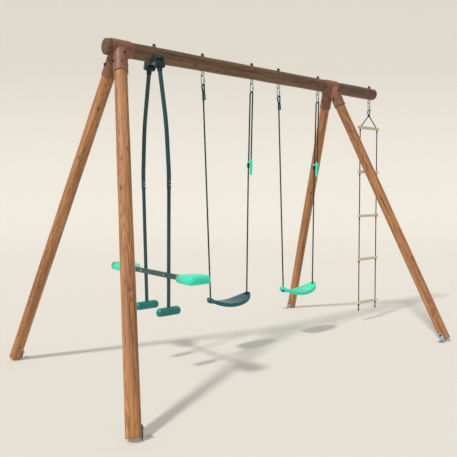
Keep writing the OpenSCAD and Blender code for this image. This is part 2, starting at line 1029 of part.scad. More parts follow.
module upper_arm(back) {
    low = along_uv(joint_uv, bar_uv, 14);
    ball = 0.5;
    color("#24504e")
        arm_side(back)
            difference() {
                across_beam()
                    bar_along([arm_top_uv, upper_bend_uv, lap_uv, low], [0, 0], arm_d, ball);
                across_beam()
                    bar_along([along_uv(arm_top_uv, upper_bend_uv, -2), upper_bend_uv, lap_uv,
                        along_uv(low, bar_uv, 2)], [0, 0], low_arm_d + 2 * fit, ball);
                arm_bolts_at()
                    cylinder(d = arm_bolt_d + 2 * fit, h = 2 * arm_d, center = true);
            }
}

module lower_arm(back) {
    color("#24504e")
        arm_side(back)
            difference() {
                across_beam()
                    bar_along([low_top_uv, low_end_uv], [], low_arm_d);
                across_beam()
                    bar_along([along_uv(low_top_uv, bar_uv, -2), along_uv(low_end_uv, bar_uv, -2)], [],
                        low_arm_d - 2 * arm_wall);
                translate([0, bar_uv.x, bar_uv.y])
                    rotate([0, 90, 0])
                        cylinder(d = bar_bolt_d + 2 * run, h = 2 * arm_d, center = true);
                arm_bolts_at()
                    cylinder(d = arm_bolt_d + 2 * fit, h = 2 * arm_d, center = true);
            }
}

// The two small bolts where the lower tube sits in the upper one
arm_bolt_d = 5;
module arm_bolts_at() {
    for (s = [-10, 12])
        translate([0, along_uv(joint_uv, bar_uv, -22 + s).x, along_uv(joint_uv, bar_uv, -22 + s).y])
            rotate([90, 0, 0])
                children();
}

module arm_bolts(back) {
    half = arm_d / 2 + rest;
    side = back ? 1 : -1;
    color("#c9cdd2")
        arm_side(back)
            arm_bolts_at()
                scale([1, 1, side]) {
                    translate([0, 0, -half])
                        cylinder(d = arm_bolt_d, h = 2 * half + 1);
                    translate([0, 0, half])
                        cylinder(d1 = 11, d2 = 8, h = 3.5);
                    translate([0, 0, -half - 3])
                        cylinder(d = 9, h = 3.2);
                }
    if (back)
        bar_pivot_stub();
    else
        bar_pivot_nut();
}

// The back arm's lower pivot stays open: a stub and a nut on the arm meet the bolt on the bar
module bar_pivot_stub() {
    color("#c9cdd2")
        arm_side(true)
            translate([0, bar_uv.x, bar_uv.y])
                rotate([0, 90, 0]) {
                    translate([0, 0, -low_arm_d / 2 + 0.5])
                        cylinder(d = bar_bolt_d, h = low_arm_d + 8);
                    translate([0, 0, low_arm_d / 2 + rest])
                        cylinder(d = 13 / cos(30), h = 7, $fn = 6);
                }
}

module bar_pivot_nut() {
    color("#c9cdd2")
        arm_side(false)
            translate([low_arm_d / 2 + rest, bar_uv.x, bar_uv.y])
                rotate([0, 90, 0])
                    hex_nut(13, 7, bar_bolt_d);
}

module foot_bar(back) {
    wall = 3;
    half = pedal_len / 2 - pedal_d / 2;
    color("#14665c")
        arm_side(back)
            difference() {
                union() {
                    difference() {
                        pedal_shape(half, pedal_d);
                        pedal_shape(half, pedal_d - 2 * wall);
                        translate([-far / 2, 0, pedal_uv.y - pedal_d / 2 - 1])
                            cube([far, far, 9]);
                    }
                    pedal_arm()
                        cylinder(d = low_arm_d + 8, h = 22);
                }
                pedal_arm()
                    translate([0, 0, 3])
                        cylinder(d = low_arm_d + 2 * fit, h = 200);
            }
}

module pedal_shape(half, d) {
    translate([0, pedal_uv.x, pedal_uv.y]) {
        rotate([0, 90, 0])
            cylinder(d = d, h = 2 * half, center = true);
        for (s = [-1, 1])
            translate([s * half, 0, 0])
                sphere(d = d);
    }
}

// The end of the arm in its foot bar, with z up the arm
module pedal_arm() {
    lean = atan2(bar_uv.x - pedal_uv.x, bar_uv.y - pedal_uv.y);
    translate([0, low_end_uv.x, low_end_uv.y])
        rotate([-lean, 0, 0])
            translate([0, 0, -3 - rest])
                children();
}

module glider_seat_bar() {
    color("#24504e")
        placed()
            glider_at_x()
                difference() {
                    union() {
                        translate([bar_x, -seat_bar_len / 2 - bar_shift, bar_z])
                            rotate([-90, 0, 0])
                                linear_extrude(seat_bar_len)
                                    rounded_2d(seat_bar_w, seat_bar_h, 4);
                        for (s = [-1, 1])
                            translate([bar_x + seat_bar_w / 2 - 0.5, s * bar_uv.x, bar_z])
                                rotate([0, 90, 0])
                                    cylinder(d = 20, h = spacer_t + 0.5);
                    }
                    translate([bar_x, -seat_bar_len / 2 - bar_shift - 1, bar_z])
                        rotate([-90, 0, 0])
                            linear_extrude(seat_bar_len + 2)
                                rounded_2d(seat_bar_w - 4, seat_bar_h - 4, 2.5);
                    for (s = [-1, 1])
                        translate([0, s * bar_uv.x, bar_z])
                            rotate([0, 90, 0])
                                cylinder(d = bar_bolt_d + 2 * run, h = 200, center = true);
                }
}

// The front bolt goes on through the arm; the back one ends at the spacer
module glider_bar_bolts() {
    head_x = bar_x - seat_bar_w / 2 - rest;
    color("#c9cdd2")
        placed()
            glider_at_x()
                for (s = [-1, 1])
                    translate([head_x, s * bar_uv.x, bar_z])
                        rotate([0, 90, 0]) {
                            cylinder(d = bar_bolt_d,
                                h = s < 0 ? low_arm_d / 2 + rest + 8 - head_x : rest + seat_bar_w + spacer_t);
                            translate([0, 0, -6])
                                cylinder(d = 13 / cos(30), h = 6, $fn = 6);
                        }
}

// A moulded hollow seat with a pocket for the bar
module glider_seat(back) {
    color("#45d9ad")
        placed()
            glider_at_x()
                at_corner(false, !back)
                    translate([bar_x, back ? -bar_shift : bar_shift, 0])
                        difference() {
                            pad_shape(0);
                            difference() {
                                pad_shape(pad_wall);
                                pad_pocket(pad_wall);
                            }
                            pad_pocket(0);
                        }
}

// Narrow and lower at the inner end; each corner holds x, y and how far its top lies below the highest
module pad_shape(skin) {
    low = bar_z - pad_h / 2 + pad_lift + skin;
    high = low + pad_h - 2 * skin;
    round_r = 20;
    corners = [[6, pad_in + 24, 15], [pad_w / 2 - 24, pad_in + 98, 3], [pad_w / 2 - 24, pad_out - 24, 0]];
    hull($fn = 32)
        for (c = corners, s = [-1, 1]) {
            translate([s * c.x, c.y, high - c.z - round_r + skin])
                sphere(round_r - skin, $fn = 32);
            translate([s * c.x, c.y, low])
                cylinder(r = round_r - 4 - skin, h = 1, $fn = 32);
            translate([s * c.x, c.y, low + 12])
                cylinder(r = 24 - skin, h = 1, $fn = 32);
        }
}

module pad_pocket(wall) {
    w = seat_bar_w + 2 * fit + 2 * wall;
    h = seat_bar_h + 2 * fit + 2 * wall;
    translate([-w / 2, 0, bar_z - h / 2])
        cube([w, seat_bar_len / 2 + rest + wall, h]);
}

// ---- rope ladder ----

module ladder_link() {
    color("#c9cdd2")
        placed()
            hang_at(ladder_x, 0)
                link();
}

module ladder_bridle() {
    loop_r = 11;
    gone = ladder_gap / 2;
    drop = bridle_knot_z - rung_top_z;
    color("#1c1f1d")
        placed()
            translate([ladder_x, 0, 0])
                difference() {
                    union() {
                        translate([0, 0, bridle_top_z - loop_r])
                            across_beam()
                                rotate_extrude(angle = 180)
                                    translate([loop_r, 0])
                                        circle(d = cord_d);
                        for (s = [-1, 1])
                            translate([0, s * loop_r, bridle_knot_z])
                                cylinder(d = cord_d, h = bridle_top_z - loop_r - bridle_knot_z);
                        translate([0, 0, bridle_knot_z])
                            sphere(d = 30);
                        for (s = [-1, 1])
                            translate([0, 0, bridle_knot_z])
                                rotate([0, s * (180 - atan2(gone, drop)), 0])
                                    cylinder(d = cord_d, h = norm([gone, drop]));
                    }
                    translate([-far / 2, 0, rung_top_z])
                        rotate([0, 90, 0])
                            cylinder(r = rung_clear, h = far);
                    translate([-far / 2, -far / 2, rung_top_z - 2 * rung_d])
                        cube([far, far, 2 * rung_d]);
                }
}

module ladder_rung(i) {
    color("#d8cf9f")
        placed()
            translate([ladder_x, 0, rung_z(i)])
                difference() {
                    translate([-rung_len / 2, 0, 0])
                        rotate([0, 90, 0])
                            log_of(rung_d, rung_len, 3);
                    for (s = [-1, 1])
                        translate([s * ladder_gap / 2, 0, -rung_d])
                            cylinder(d = cord_d + 2 * fit, h = 2 * rung_d);
                }
}

module ladder_rope(i) {
    last = i == rung_n - 1;
    knot_at = -rung_d / 2 - rest - cord_knot_d / 2 + 1.5;
    low = last ? -tail_len : -rung_step;
    color("#1c1f1d")
        placed()
            translate([ladder_x, 0, rung_z(i)])
                for (s = [-1, 1])
                    translate([s * ladder_gap / 2, 0, 0])
                        difference() {
                            union() {
                                translate([0, 0, low])
                                    cylinder(d = cord_d, h = cord_up - low);
                                difference() {
                                    translate([0, 0, knot_at])
                                        sphere(d = cord_knot_d);
                                    rotate([0, 90, 0])
                                        cylinder(r = rung_d / 2 + fit, h = 100, center = true);
                                }
                                if (last)
                                    translate([0, 0, -tail_len])
                                        sphere(d = cord_knot_d - 4);
                            }
                            if (!last)
                                translate([0, 0, -rung_step])
                                    rotate([0, 90, 0])
                                        cylinder(r = rung_clear, h = 100, center = true);
                        }
}

beam();
leg(false, false);  // leg_front_left
leg(false, true);  // leg_back_left
leg(true, false);  // leg_front_right
leg(true, true);  // leg_back_right
connector(false);  // connector_left
connector(true);  // connector_right
connector_screws();
connector_bolts();
anchor(false, false);  // anchor_front_left
anchor(false, true);  // anchor_back_left
anchor(true, false);  // anchor_front_right
anchor(true, true);  // anchor_back_right
anchor_bolts();
hanger_eyes();
hanger_caps();
hanger_washers();
glider_bracket();
glider_pivot_bolts();
swing_links(swing_a_x);  // swing_a_links
swing_rope_left(swing_a_x);  // swing_a_rope_left
swing_rope_right(swing_a_x);  // swing_a_rope_right
swing_clamp(swing_a_x);  // swing_a_clamp
swing_seat(swing_a_x, "#1c6068");  // swing_a_seat
swing_adjuster(swing_a_x);  // swing_a_adjuster
swing_adjuster_knot(swing_a_x);  // swing_a_adjuster_knot
swing_links(swing_b_x);  // swing_b_links
swing_rope_left(swing_b_x);  // swing_b_rope_left
swing_rope_right(swing_b_x);  // swing_b_rope_right
swing_clamp(swing_b_x);  // swing_b_clamp
swing_seat(swing_b_x, "#45d9ad");  // swing_b_seat
swing_adjuster(swing_b_x);  // swing_b_adjuster
swing_adjuster_knot(swing_b_x);  // swing_b_adjuster_knot
arm_hub(false);  // glider_front_hub
upper_arm(false);  // glider_front_upper_arm
lower_arm(false);  // glider_front_lower_arm
arm_bolts(false);  // glider_front_arm_bolts
foot_bar(false);  // glider_front_foot_bar
arm_hub(true);  // glider_back_hub
upper_arm(true);  // glider_back_upper_arm
lower_arm(true);  // glider_back_lower_arm
arm_bolts(true);  // glider_back_arm_bolts
foot_bar(true);  // glider_back_foot_bar
glider_seat_bar();
glider_bar_bolts();
glider_seat(false);  // glider_front_seat
glider_seat(true);  // glider_back_seat
ladder_link();
ladder_bridle();
ladder_rung(0);  // ladder_rung_1
ladder_rung(1);  // ladder_rung_2
ladder_rung(2);  // ladder_rung_3
ladder_rung(3);  // ladder_rung_4
ladder_rung(4);  // ladder_rung_5
ladder_rope(0);  // ladder_rope_1
ladder_rope(1);  // ladder_rope_2
ladder_rope(2);  // ladder_rope_3
ladder_rope(3);  // ladder_rope_4
ladder_rope(4);  // ladder_rope_5
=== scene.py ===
# %% [markdown]
# # A wooden garden swing set
# The set is two splayed pairs of round legs, a round beam that lies in two moulded corner connectors, a glider
# for a pair of riders, two swings with moulded seats and a rope ladder past the right-hand legs.
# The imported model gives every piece's place and how it moves. This script adds the look: turned logs with
# knots, laid rope, moulded seats and plated fittings, each riding the body it belongs to.
# Everything is in metres, with the beam along X and Z up.

# %% Load the frame
import math
import random

import bpy
import numpy as np
from mathutils import Matrix, Vector
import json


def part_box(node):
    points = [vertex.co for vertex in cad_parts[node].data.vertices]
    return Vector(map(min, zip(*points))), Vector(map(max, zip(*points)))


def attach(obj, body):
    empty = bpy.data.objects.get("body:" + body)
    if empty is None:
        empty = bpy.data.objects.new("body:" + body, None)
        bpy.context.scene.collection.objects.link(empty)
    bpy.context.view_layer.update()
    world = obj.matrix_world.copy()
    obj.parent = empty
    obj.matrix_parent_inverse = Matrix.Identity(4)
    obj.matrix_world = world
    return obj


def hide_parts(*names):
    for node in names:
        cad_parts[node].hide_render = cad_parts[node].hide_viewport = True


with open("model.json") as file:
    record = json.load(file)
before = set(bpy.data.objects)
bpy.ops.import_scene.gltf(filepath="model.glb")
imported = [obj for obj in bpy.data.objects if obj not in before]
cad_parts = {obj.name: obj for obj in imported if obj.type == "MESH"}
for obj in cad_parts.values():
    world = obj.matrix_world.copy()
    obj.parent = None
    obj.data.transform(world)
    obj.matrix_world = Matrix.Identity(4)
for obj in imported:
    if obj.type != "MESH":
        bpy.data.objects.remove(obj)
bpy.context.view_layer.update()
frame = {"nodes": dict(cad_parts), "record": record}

# %% [markdown]
# ## The camera
# The camera stands low and near the left front leg, so that the near A-frame looms and the beam runs away to the
# right. A camera looks along its own -Z, so its turn is built from three unit vectors: its right side, its top and
# its back, which come from a yaw, a slight downward pitch and a small roll.

# %% Place the camera
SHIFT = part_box("beam")[0].x + 1.101  # where the middle between the two A-frames stands in the shared frame
CAMERA_YAW = -39.135


def make_camera(place, yaw, pitch, roll, lens):
    """A camera from three angles in degrees: yaw turns left from +Y, pitch looks down, roll tips it."""
    y, p, r = (math.radians(a) for a in (yaw, pitch, roll))
    back = Vector((math.sin(y) * math.cos(p), -math.cos(y) * math.cos(p), math.sin(p)))
    right = Vector((math.cos(y), math.sin(y), 0))
    up = back.cross(right)
    side = math.cos(r) * right + math.sin(r) * up
    top = -math.sin(r) * right + math.cos(r) * up
    data = bpy.data.cameras.new("camera")
    data.lens = lens
    data.sensor_width = 36
    data.clip_end = 200
    camera = bpy.data.objects.new("camera", data)
    bpy.context.scene.collection.objects.link(camera)
    turn = Matrix((side, top, back)).transposed().to_4x4()
    camera.matrix_world = Matrix.Translation(place) @ turn
    bpy.context.scene.camera = camera
    return camera


camera = make_camera(Vector((-2.6868 + SHIFT, -3.1484, 1.1793)), CAMERA_YAW, 3.472, -0.2935, 43.245)
print("camera", [round(v, 3) for v in camera.location])

# %% [markdown]
# ## One way to build every finish
# A finish is a small tree of shader nodes. One function adds a node: it takes the node's kind, a dictionary of
# inputs that are either plain values or another node's output, and any settings. Colours are written as the
# familiar hex values and turned into the linear values that a renderer works with.

# %% Colours and the node helper
def linear(hex_colour):
    """A display colour such as #8c5c42 as linear light, with alpha."""
    out = []
    for i in (1, 3, 5):
        c = int(hex_colour[i:i + 2], 16) / 255
        out.append(c / 12.92 if c <= 0.04045 else ((c + 0.055) / 1.055) ** 2.4)
    return (*out, 1.0)


def add(material, kind, inputs=None, stops=None, **settings):
    """Adds one shader node; an input takes a value or another node's output; stops fill a colour ramp."""
    made = material.node_tree.nodes.new("ShaderNode" + kind)
    for key, value in settings.items():
        setattr(made, key, value)
    for key, value in (inputs or {}).items():
        if isinstance(value, bpy.types.NodeSocket):
            material.node_tree.links.new(value, made.inputs[key])
        else:
            made.inputs[key].default_value = value
    if stops:
        ramp = made.color_ramp
        while len(ramp.elements) < len(stops):
            ramp.elements.new(0.5)
        for element, (at, colour) in zip(ramp.elements, stops):
            element.position = at
            element.color = linear(colour) if isinstance(colour, str) else (colour,) * 3 + (1,)
    return made


def new_material(name):
    """An empty material with its output node and its object coordinates."""
    material = bpy.data.materials.new(name)
    material.use_nodes = True
    material.node_tree.nodes.clear()
    output = add(material, "OutputMaterial")
    place = add(material, "TexCoord").outputs["Object"]
    return material, output, place


def scaled(material, place, x, y, z):
    """Coordinates stretched by a different factor each way."""
    return add(material, "Mapping", {"Vector": place, "Scale": (x, y, z)}).outputs[0]


def finish_up(material, output, colour, roughness, bump, bump_mm, **fixed):
    """Joins colour, roughness and bump to the shader; fixed holds its uniform values."""
    normal = add(material, "Bump", {"Height": bump, "Strength": 1.0, "Distance": bump_mm / 1000}).outputs[0]
    shader = add(material, "BsdfPrincipled", {"Base Color": colour, "Roughness": roughness, "Normal": normal})
    for key, value in fixed.items():
        shader.inputs[key.replace("_", " ")].default_value = value
    material.node_tree.links.new(shader.outputs[0], output.inputs["Surface"])
    return material


print("mid grey as linear light", round(linear("#808080")[0], 3))

# %% [markdown]
# ## Stained softwood
# Turned poles show their growth rings twice: as circles on the sawn ends and, along the sides, as long flames
# where the cutter crossed the rings. One solid pattern gives both: distance from the pole's heart, pushed about
# by noise that is stretched along the pole. Knots are cells of a stretched Voronoi pattern; the same cells push
# the rings apart, so the grain flows round each knot. A few narrow drying cracks are cut into the bump.
# Each pattern's scale is in repeats a metre, across the pole twice and then along it.

# %% The wood's patterns
DRIFT = (9, 9, 0.9)  # the rings wander over 110 mm across and a metre along
FIBRE = (240, 240, 6)  # fibres 4 mm wide and 170 mm long, coarser than real ones so that they show
STREAK = (42, 42, 1.3)  # stain that sank in unevenly, in streaks 24 mm wide
KNOT = (15, 15, 8)  # at most one knot in each 67 mm by 125 mm
CRACK = (70, 70, 1.1)  # cracks 14 mm apart at the least, up to a metre long
RING = 330.0  # growth rings 3 mm apart
print("rings", round(1000 / RING, 1), "mm apart")

# %% Make the wood finishes
def wood(name, pale, mid, dark, knot, seed):
    """Stained softwood, satin: mostly rough to the eye, with a faint sheen on the ridges of the grain."""
    material, output, place = new_material(name)
    axes = add(material, "SeparateXYZ", {0: place})
    flat = add(material, "CombineXYZ", {0: axes.outputs[0], 1: axes.outputs[1]}).outputs[0]
    heart = add(material, "VectorMath", {0: flat}, operation="LENGTH").outputs["Value"]
    moved = add(material, "VectorMath", {0: place, 1: (seed, seed * 2.3, seed * 1.7)}).outputs[0]
    drift = add(material, "TexNoise", {"Vector": scaled(material, moved, *DRIFT), "Scale": 1.0, "Detail": 2.0})
    fibre = add(material, "TexNoise", {"Vector": scaled(material, moved, *FIBRE), "Scale": 1.0, "Detail": 5.0})
    streak = add(material, "TexNoise", {"Vector": scaled(material, moved, *STREAK), "Scale": 1.0, "Detail": 3.0})
    cells = add(material, "TexVoronoi", {"Vector": scaled(material, moved, *KNOT), "Scale": 1.0})
    # A knot has a wide zone that bends the rings and a narrow dark core.
    near = add(material, "MapRange", {0: cells.outputs["Distance"], 1: 0.34, 2: 0.04, 3: 0.0, 4: 1.0},
               interpolation_type="SMOOTHSTEP").outputs[0]
    core = add(material, "MapRange", {0: cells.outputs["Distance"], 1: 0.19, 2: 0.06, 3: 0.0, 4: 1.0},
               interpolation_type="SMOOTHSTEP").outputs[0]
    # Distance from the heart counted in rings, then pushed by the drift, the knots and the fibres.
    rings = add(material, "Math", {0: heart, 1: RING}, operation="MULTIPLY").outputs[0]
    rings = add(material, "Math", {0: drift.outputs[0], 1: 26.0, 2: rings}, operation="MULTIPLY_ADD").outputs[0]
    rings = add(material, "Math", {0: near, 1: 5.0, 2: rings}, operation="MULTIPLY_ADD").outputs[0]
    rings = add(material, "Math", {0: fibre.outputs[0], 1: 0.9, 2: rings}, operation="MULTIPLY_ADD").outputs[0]
    # Each ring goes from pale early wood to dark late wood and starts again.
    late = add(material, "Math", {0: rings, 1: 1.0}, operation="FRACT").outputs[0]
    grain = add(material, "ValToRGB", {0: late}, stops=[(0.0, pale), (0.55, mid), (0.88, dark), (1.0, pale)])
    stain = add(material, "ValToRGB", {0: streak.outputs[0]}, stops=[(0.30, dark), (0.52, mid), (0.72, pale)])
    colour = add(material, "Mix", {0: 0.55, 6: grain.outputs[0], 7: stain.outputs[0]}, data_type="RGBA").outputs[2]
    pores = add(material, "MapRange", {0: fibre.outputs[0], 1: 0.35, 2: 0.65, 3: 0.66, 4: 1.14}).outputs[0]
    colour = add(material, "Mix", {0: 1.0, 6: colour, 7: pores}, data_type="RGBA", blend_type="MULTIPLY").outputs[2]
    # Knots and cracks go on top; both the late wood and the fibres stand proud, and cracks go in.
    knotty = add(material, "Math", {0: core, 1: 0.75}, operation="MULTIPLY").outputs[0]
    colour = add(material, "Mix", {0: knotty, 6: colour, 7: linear(knot)}, data_type="RGBA").outputs[2]
    crack = add(material, "TexNoise", {"Vector": scaled(material, moved, *CRACK), "Scale": 1.0, "Detail": 1.0})
    split = add(material, "MapRange", {0: crack.outputs[0], 1: 0.735, 2: 0.75, 3: 0.0, 4: 1.0}).outputs[0]
    colour = add(material, "Mix", {0: split, 6: colour, 7: linear("#2a170d")}, data_type="RGBA").outputs[2]
    height = add(material, "Math", {0: fibre.outputs[0], 1: 0.5, 2: late}, operation="MULTIPLY_ADD").outputs[0]
    height = add(material, "Math", {0: split, 1: -4.0, 2: height}, operation="MULTIPLY_ADD").outputs[0]
    rough = add(material, "MapRange", {0: fibre.outputs[0], 3: 0.42, 4: 0.66}).outputs[0]
    return finish_up(material, output, colour, rough, height, 0.35)


finishes = {
    "leg_wood": wood("stained pine, amber", "#dca26e", "#b87b48", "#70432a", "#54301c", 3.1),
    "beam_wood": wood("stained pine, brown", "#946c4a", "#6f5038", "#47311f", "#33221a", 7.7),
}
print("wood finishes", list(finishes))

# %% [markdown]
# ## Moulded plastic, coated and plated steel, rope
# These share one recipe: two near shades drift over a hand's width, a fine grain in the bump is as coarse as the
# real one, the sheen varies a little, a few pale scuffs show use and dust settles on what faces up. Only the
# numbers differ.

# %% One recipe for them
SCUFF = (900, 60, 320)  # scuffs in repeats a metre: about 1 mm wide and 17 mm long


def plain(name, shade, other, rough, grain_mm, bump_mm, drift_mm=120, dust=0.12, marks=0.0, **fixed):
    """An even finish in two near shades, with its grain, bump and drift in millimetres."""
    material, output, place = new_material(name)
    drift = add(material, "TexNoise", {"Vector": place, "Scale": 1000 / drift_mm, "Detail": 4.0})
    grain = add(material, "TexNoise", {"Vector": place, "Scale": 1000 / grain_mm, "Detail": 3.0})
    blend = add(material, "MapRange", {0: drift.outputs[0], 1: 0.35, 2: 0.65}).outputs[0]
    colour = add(material, "Mix", {0: blend, 6: linear(shade), 7: linear(other)}, data_type="RGBA").outputs[2]
    facing = add(material, "NewGeometry").outputs["Normal"]
    up = add(material, "SeparateXYZ", {0: facing}).outputs[2]
    settled = add(material, "MapRange", {0: up, 1: 0.3, 2: 1.0, 3: 0.0, 4: dust}).outputs[0]
    patchy = add(material, "Math", {0: settled, 1: drift.outputs[0]}, operation="MULTIPLY").outputs[0]
    colour = add(material, "Mix", {0: patchy, 6: colour, 7: linear("#b8ae9c")}, data_type="RGBA").outputs[2]
    low, high = rough - 0.06, rough + 0.08
    sheen = add(material, "MapRange", {0: drift.outputs[0], 1: 0.3, 2: 0.7, 3: low, 4: high}).outputs[0]
    if marks:
        lines = add(material, "TexNoise", {"Vector": scaled(material, place, *SCUFF), "Scale": 1.0, "Detail": 2.0})
        scuffs = add(material, "MapRange", {0: lines.outputs[0], 1: 0.66, 2: 0.72, 3: 0.0, 4: marks}).outputs[0]
        colour = add(material, "Mix", {0: scuffs, 6: colour, 7: linear("#cfcabd")}, data_type="RGBA").outputs[2]
        sheen = add(material, "Math", {0: scuffs, 1: 0.3, 2: sheen}, operation="MULTIPLY_ADD").outputs[0]
    return finish_up(material, output, colour, sheen, grain.outputs[0], bump_mm, **fixed)


print("scuffs", round(1000 / SCUFF[0], 1), "mm by", round(1000 / SCUFF[1], 1), "mm")

# %% [markdown]
# What each gives the eye: moulded polypropylene and polyethylene are satin, with soft broad highlights; nylon with
# glass in it is duller; powder coat is smooth under a thin clear sheen; zinc plate is a bright bluish metal with
# small spangles; laid rope of polypropylene is dull, and its strands do the work. The two deep green mouldings
# keep little dust, so that they stay deep in colour.

# %% Make the other finishes
finishes.update({
    "connector_plastic": plain("polypropylene, red brown", "#94624a", "#7c4f3b", 0.5, 1.6, 0.12, marks=0.25),
    "black_plastic": plain("black nylon and blacked steel", "#1b1b1c", "#242322", 0.38, 1.0, 0.04, marks=0.2),
    "zinc_steel": plain("zinc-plated steel", "#d3dae2", "#b9c1cb", 0.34, 2.5, 0.03, drift_mm=14, Metallic=1.0),
    "teal_steel": plain("powder-coated steel, dark teal", "#14494b", "#103e42", 0.36, 0.9, 0.03, marks=0.2,
                        Coat_Weight=0.3),
    "hub_plastic": plain("glass-filled nylon, blue black", "#182231", "#10161f", 0.42, 0.9, 0.04),
    "green_plastic": plain("polyethylene, sea green", "#0b8580", "#0a7570", 0.34, 1.4, 0.05, dust=0.06, marks=0.2),
    "teal_plastic": plain("polyethylene, petrol teal", "#0d6d7a", "#0b5d6b", 0.34, 1.4, 0.05, dust=0.05, marks=0.15),
    "clamp_plastic": plain("polyethylene, sea green, matt", "#2d7466", "#246055", 0.45, 1.2, 0.04),
    "mint_plastic": plain("polyethylene, mint", "#3ef5cc", "#30e4bc", 0.32, 1.4, 0.05, marks=0.15,
                          Subsurface_Weight=0.05, Subsurface_Scale=0.01),
    "green_rope": plain("polypropylene rope, grey green", "#2a3d36", "#1d2b27", 0.7, 0.7, 0.12, drift_mm=30),
    "black_rope": plain("polypropylene rope, black", "#1c1f1d", "#282b28", 0.7, 0.7, 0.12, drift_mm=30),
    "cream_plastic": plain("polypropylene, cream", "#e0d3b4", "#d2c4a4", 0.42, 1.4, 0.06, marks=0.2),
})
slot_of = {s["node"]: s["material_slot"] for s in frame["record"]["subparts"]}
for node, shown in frame["nodes"].items():
    slots = shown.data.materials
    if not slots:
        slots.append(finishes[slot_of[node]])
    for i in range(len(slots)):
        slots[i] = finishes[slot_of[node]]
print("finishes", len(finishes))

# %% [markdown]
# ## Helpers for shapes
# Nearly everything here is swept along a line: a log along its axis, a tube along a bent path, rope along the way
# it hangs. So the helpers are few: round a path's corners, carry a frame along it without twist, and sweep rings.

# %% Paths
def rounded_path(points, radii, step=0.003, closed=False):
    """A flat path with its corners replaced by arcs, as points at most a step apart on the arcs."""
    pts = [np.array(p, float) for p in points]
    n = len(pts)
    out = []
    for i, p in enumerate(pts):
        if not closed and i in (0, n - 1):
            out.append(p)
            continue
        before, after = pts[i - 1], pts[(i + 1) % n]
        a, b = (before - p), (after - p)
        a, b = a / np.linalg.norm(a), b / np.linalg.norm(b)
        r = radii[i if closed else i - 1]
        half = math.acos(max(-1, min(1, float(a @ b)))) / 2
        if r <= 0 or math.pi / 2 - half < 1e-4:
            out.append(p)
            continue
        cut = r / math.tan(half)
        middle = p + (a + b) / np.linalg.norm(a + b) * (r / math.sin(half))
        start, end = p + a * cut, p + b * cut
        swing = math.pi - 2 * half
        count = max(3, int(swing * r / step), int(swing / 0.15))
        u, v = (start - middle) / r, (end - middle) / r
        for k in range(count + 1):
            t = k / count
            mix = (math.sin((1 - t) * swing) * u + math.sin(t * swing) * v) / math.sin(swing)
            out.append(middle + mix * r)
    return np.array(out)


def even(path, step):
    """The same line with points an even distance apart."""
    path = np.array(path, float)
    gaps = np.linalg.norm(np.diff(path, axis=0), axis=1)
    run = np.concatenate([[0], np.cumsum(gaps)])
    want = np.linspace(0, run[-1], max(2, int(run[-1] / step) + 1))
    return np.stack([np.interp(want, run, path[:, k]) for k in range(path.shape[1])], axis=1)


def side_vectors(path):
    """Two unit vectors across the path at each point, carried along it without twist."""
    tangents = np.gradient(path, axis=0)
    tangents /= np.linalg.norm(tangents, axis=1)[:, None]
    first = np.cross(tangents[0], (1, 0, 0) if abs(tangents[0][0]) < 0.8 else (0, 1, 0))
    ns = [first / np.linalg.norm(first)]
    for t in tangents[1:]:
        n = ns[-1] - t * (ns[-1] @ t)
        ns.append(n / np.linalg.norm(n))
    ns = np.array(ns)
    return ns, np.cross(tangents, ns)


print("a square corner of 0.1 m takes", len(rounded_path([(0, 0), (1, 0), (1, 1)], [0.1])) - 2, "points")

# %% [markdown]
# A skin is a stack of rings with as many points each, joined by four-sided faces and closed at both ends. Laid rope
# is three strands that turn round one line, so it is made of three tubes rather than one with a bump: its outline
# is lumpy as the real one's is. A knot is a closed trefoil of cord, drawn up until it fits a ball.

# %% Skins, tubes, ropes and knots
def rings_to_mesh(rings):
    """Points and faces of a closed skin over a list of rings, each with the same number of points."""
    rings = [np.asarray(r, float) for r in rings]
    n = len(rings[0])
    points = [p for r in rings for p in r]
    faces = []
    for i in range(len(rings) - 1):
        for k in range(n):
            a, b = i * n + k, i * n + (k + 1) % n
            faces.append((a, b, b + n, a + n))
    faces.append(tuple(reversed(range(n))))
    faces.append(tuple(range((len(rings) - 1) * n, len(rings) * n)))
    return points, faces


def tube(path, radius, sides=16):
    """A round bar along a path."""
    path = np.asarray(path, float)
    ns, bs = side_vectors(path)
    angles = np.linspace(0, 2 * math.pi, sides, endpoint=False)
    ring = np.stack([np.cos(angles), np.sin(angles)])
    return rings_to_mesh([p + radius * (ring[0][:, None] * n + ring[1][:, None] * b)
                          for p, n, b in zip(path, ns, bs)])


def join(*parts):
    """Several lists of points and faces as one."""
    points, faces = [], []
    for more_points, more_faces in parts:
        base = len(points)
        points.extend(more_points)
        faces.extend(tuple(i + base for i in f) for f in more_faces)
    return points, faces


def laid_rope(path, diameter, strands=3, pitch=3.4, step=0.0026, sides=7):
    """Strands twisted round a path; the pitch is in rope diameters."""
    path = even(path, step)
    ns, bs = side_vectors(path)
    run = np.concatenate([[0], np.cumsum(np.linalg.norm(np.diff(path, axis=0), axis=1))])
    strand = diameter * 0.27
    parts = []
    for k in range(strands):
        a = 2 * math.pi * (run / (pitch * diameter) + k / strands)
        line = path + (diameter / 2 - strand) * (np.cos(a)[:, None] * ns + np.sin(a)[:, None] * bs)
        parts.append(tube(line, strand, sides))
    return join(*parts)


def knot(middle, size, cord, turn):
    """A drawn-up overhand knot: a trefoil of cord that fits a ball of this size."""
    t = np.linspace(0, 2 * math.pi, 73)[:-1]
    shape = np.stack([np.sin(t) + 2 * np.sin(2 * t), np.cos(t) - 2 * np.cos(2 * t), -1.5 * np.sin(3 * t)], axis=1)
    shape *= (size / 2 - cord / 2) / 3.0
    spin = Matrix.Rotation(turn, 3, "Z") @ Matrix.Rotation(math.pi / 2, 3, "X")
    line = shape @ np.array(spin).T + np.array(middle)
    line = np.vstack([line, line[:2]])
    return tube(line, cord / 2, 9)


print("a metre of laid rope takes", len(laid_rope([(0, 0, 0), (0, 0, 1)], 0.012)[1]), "faces")

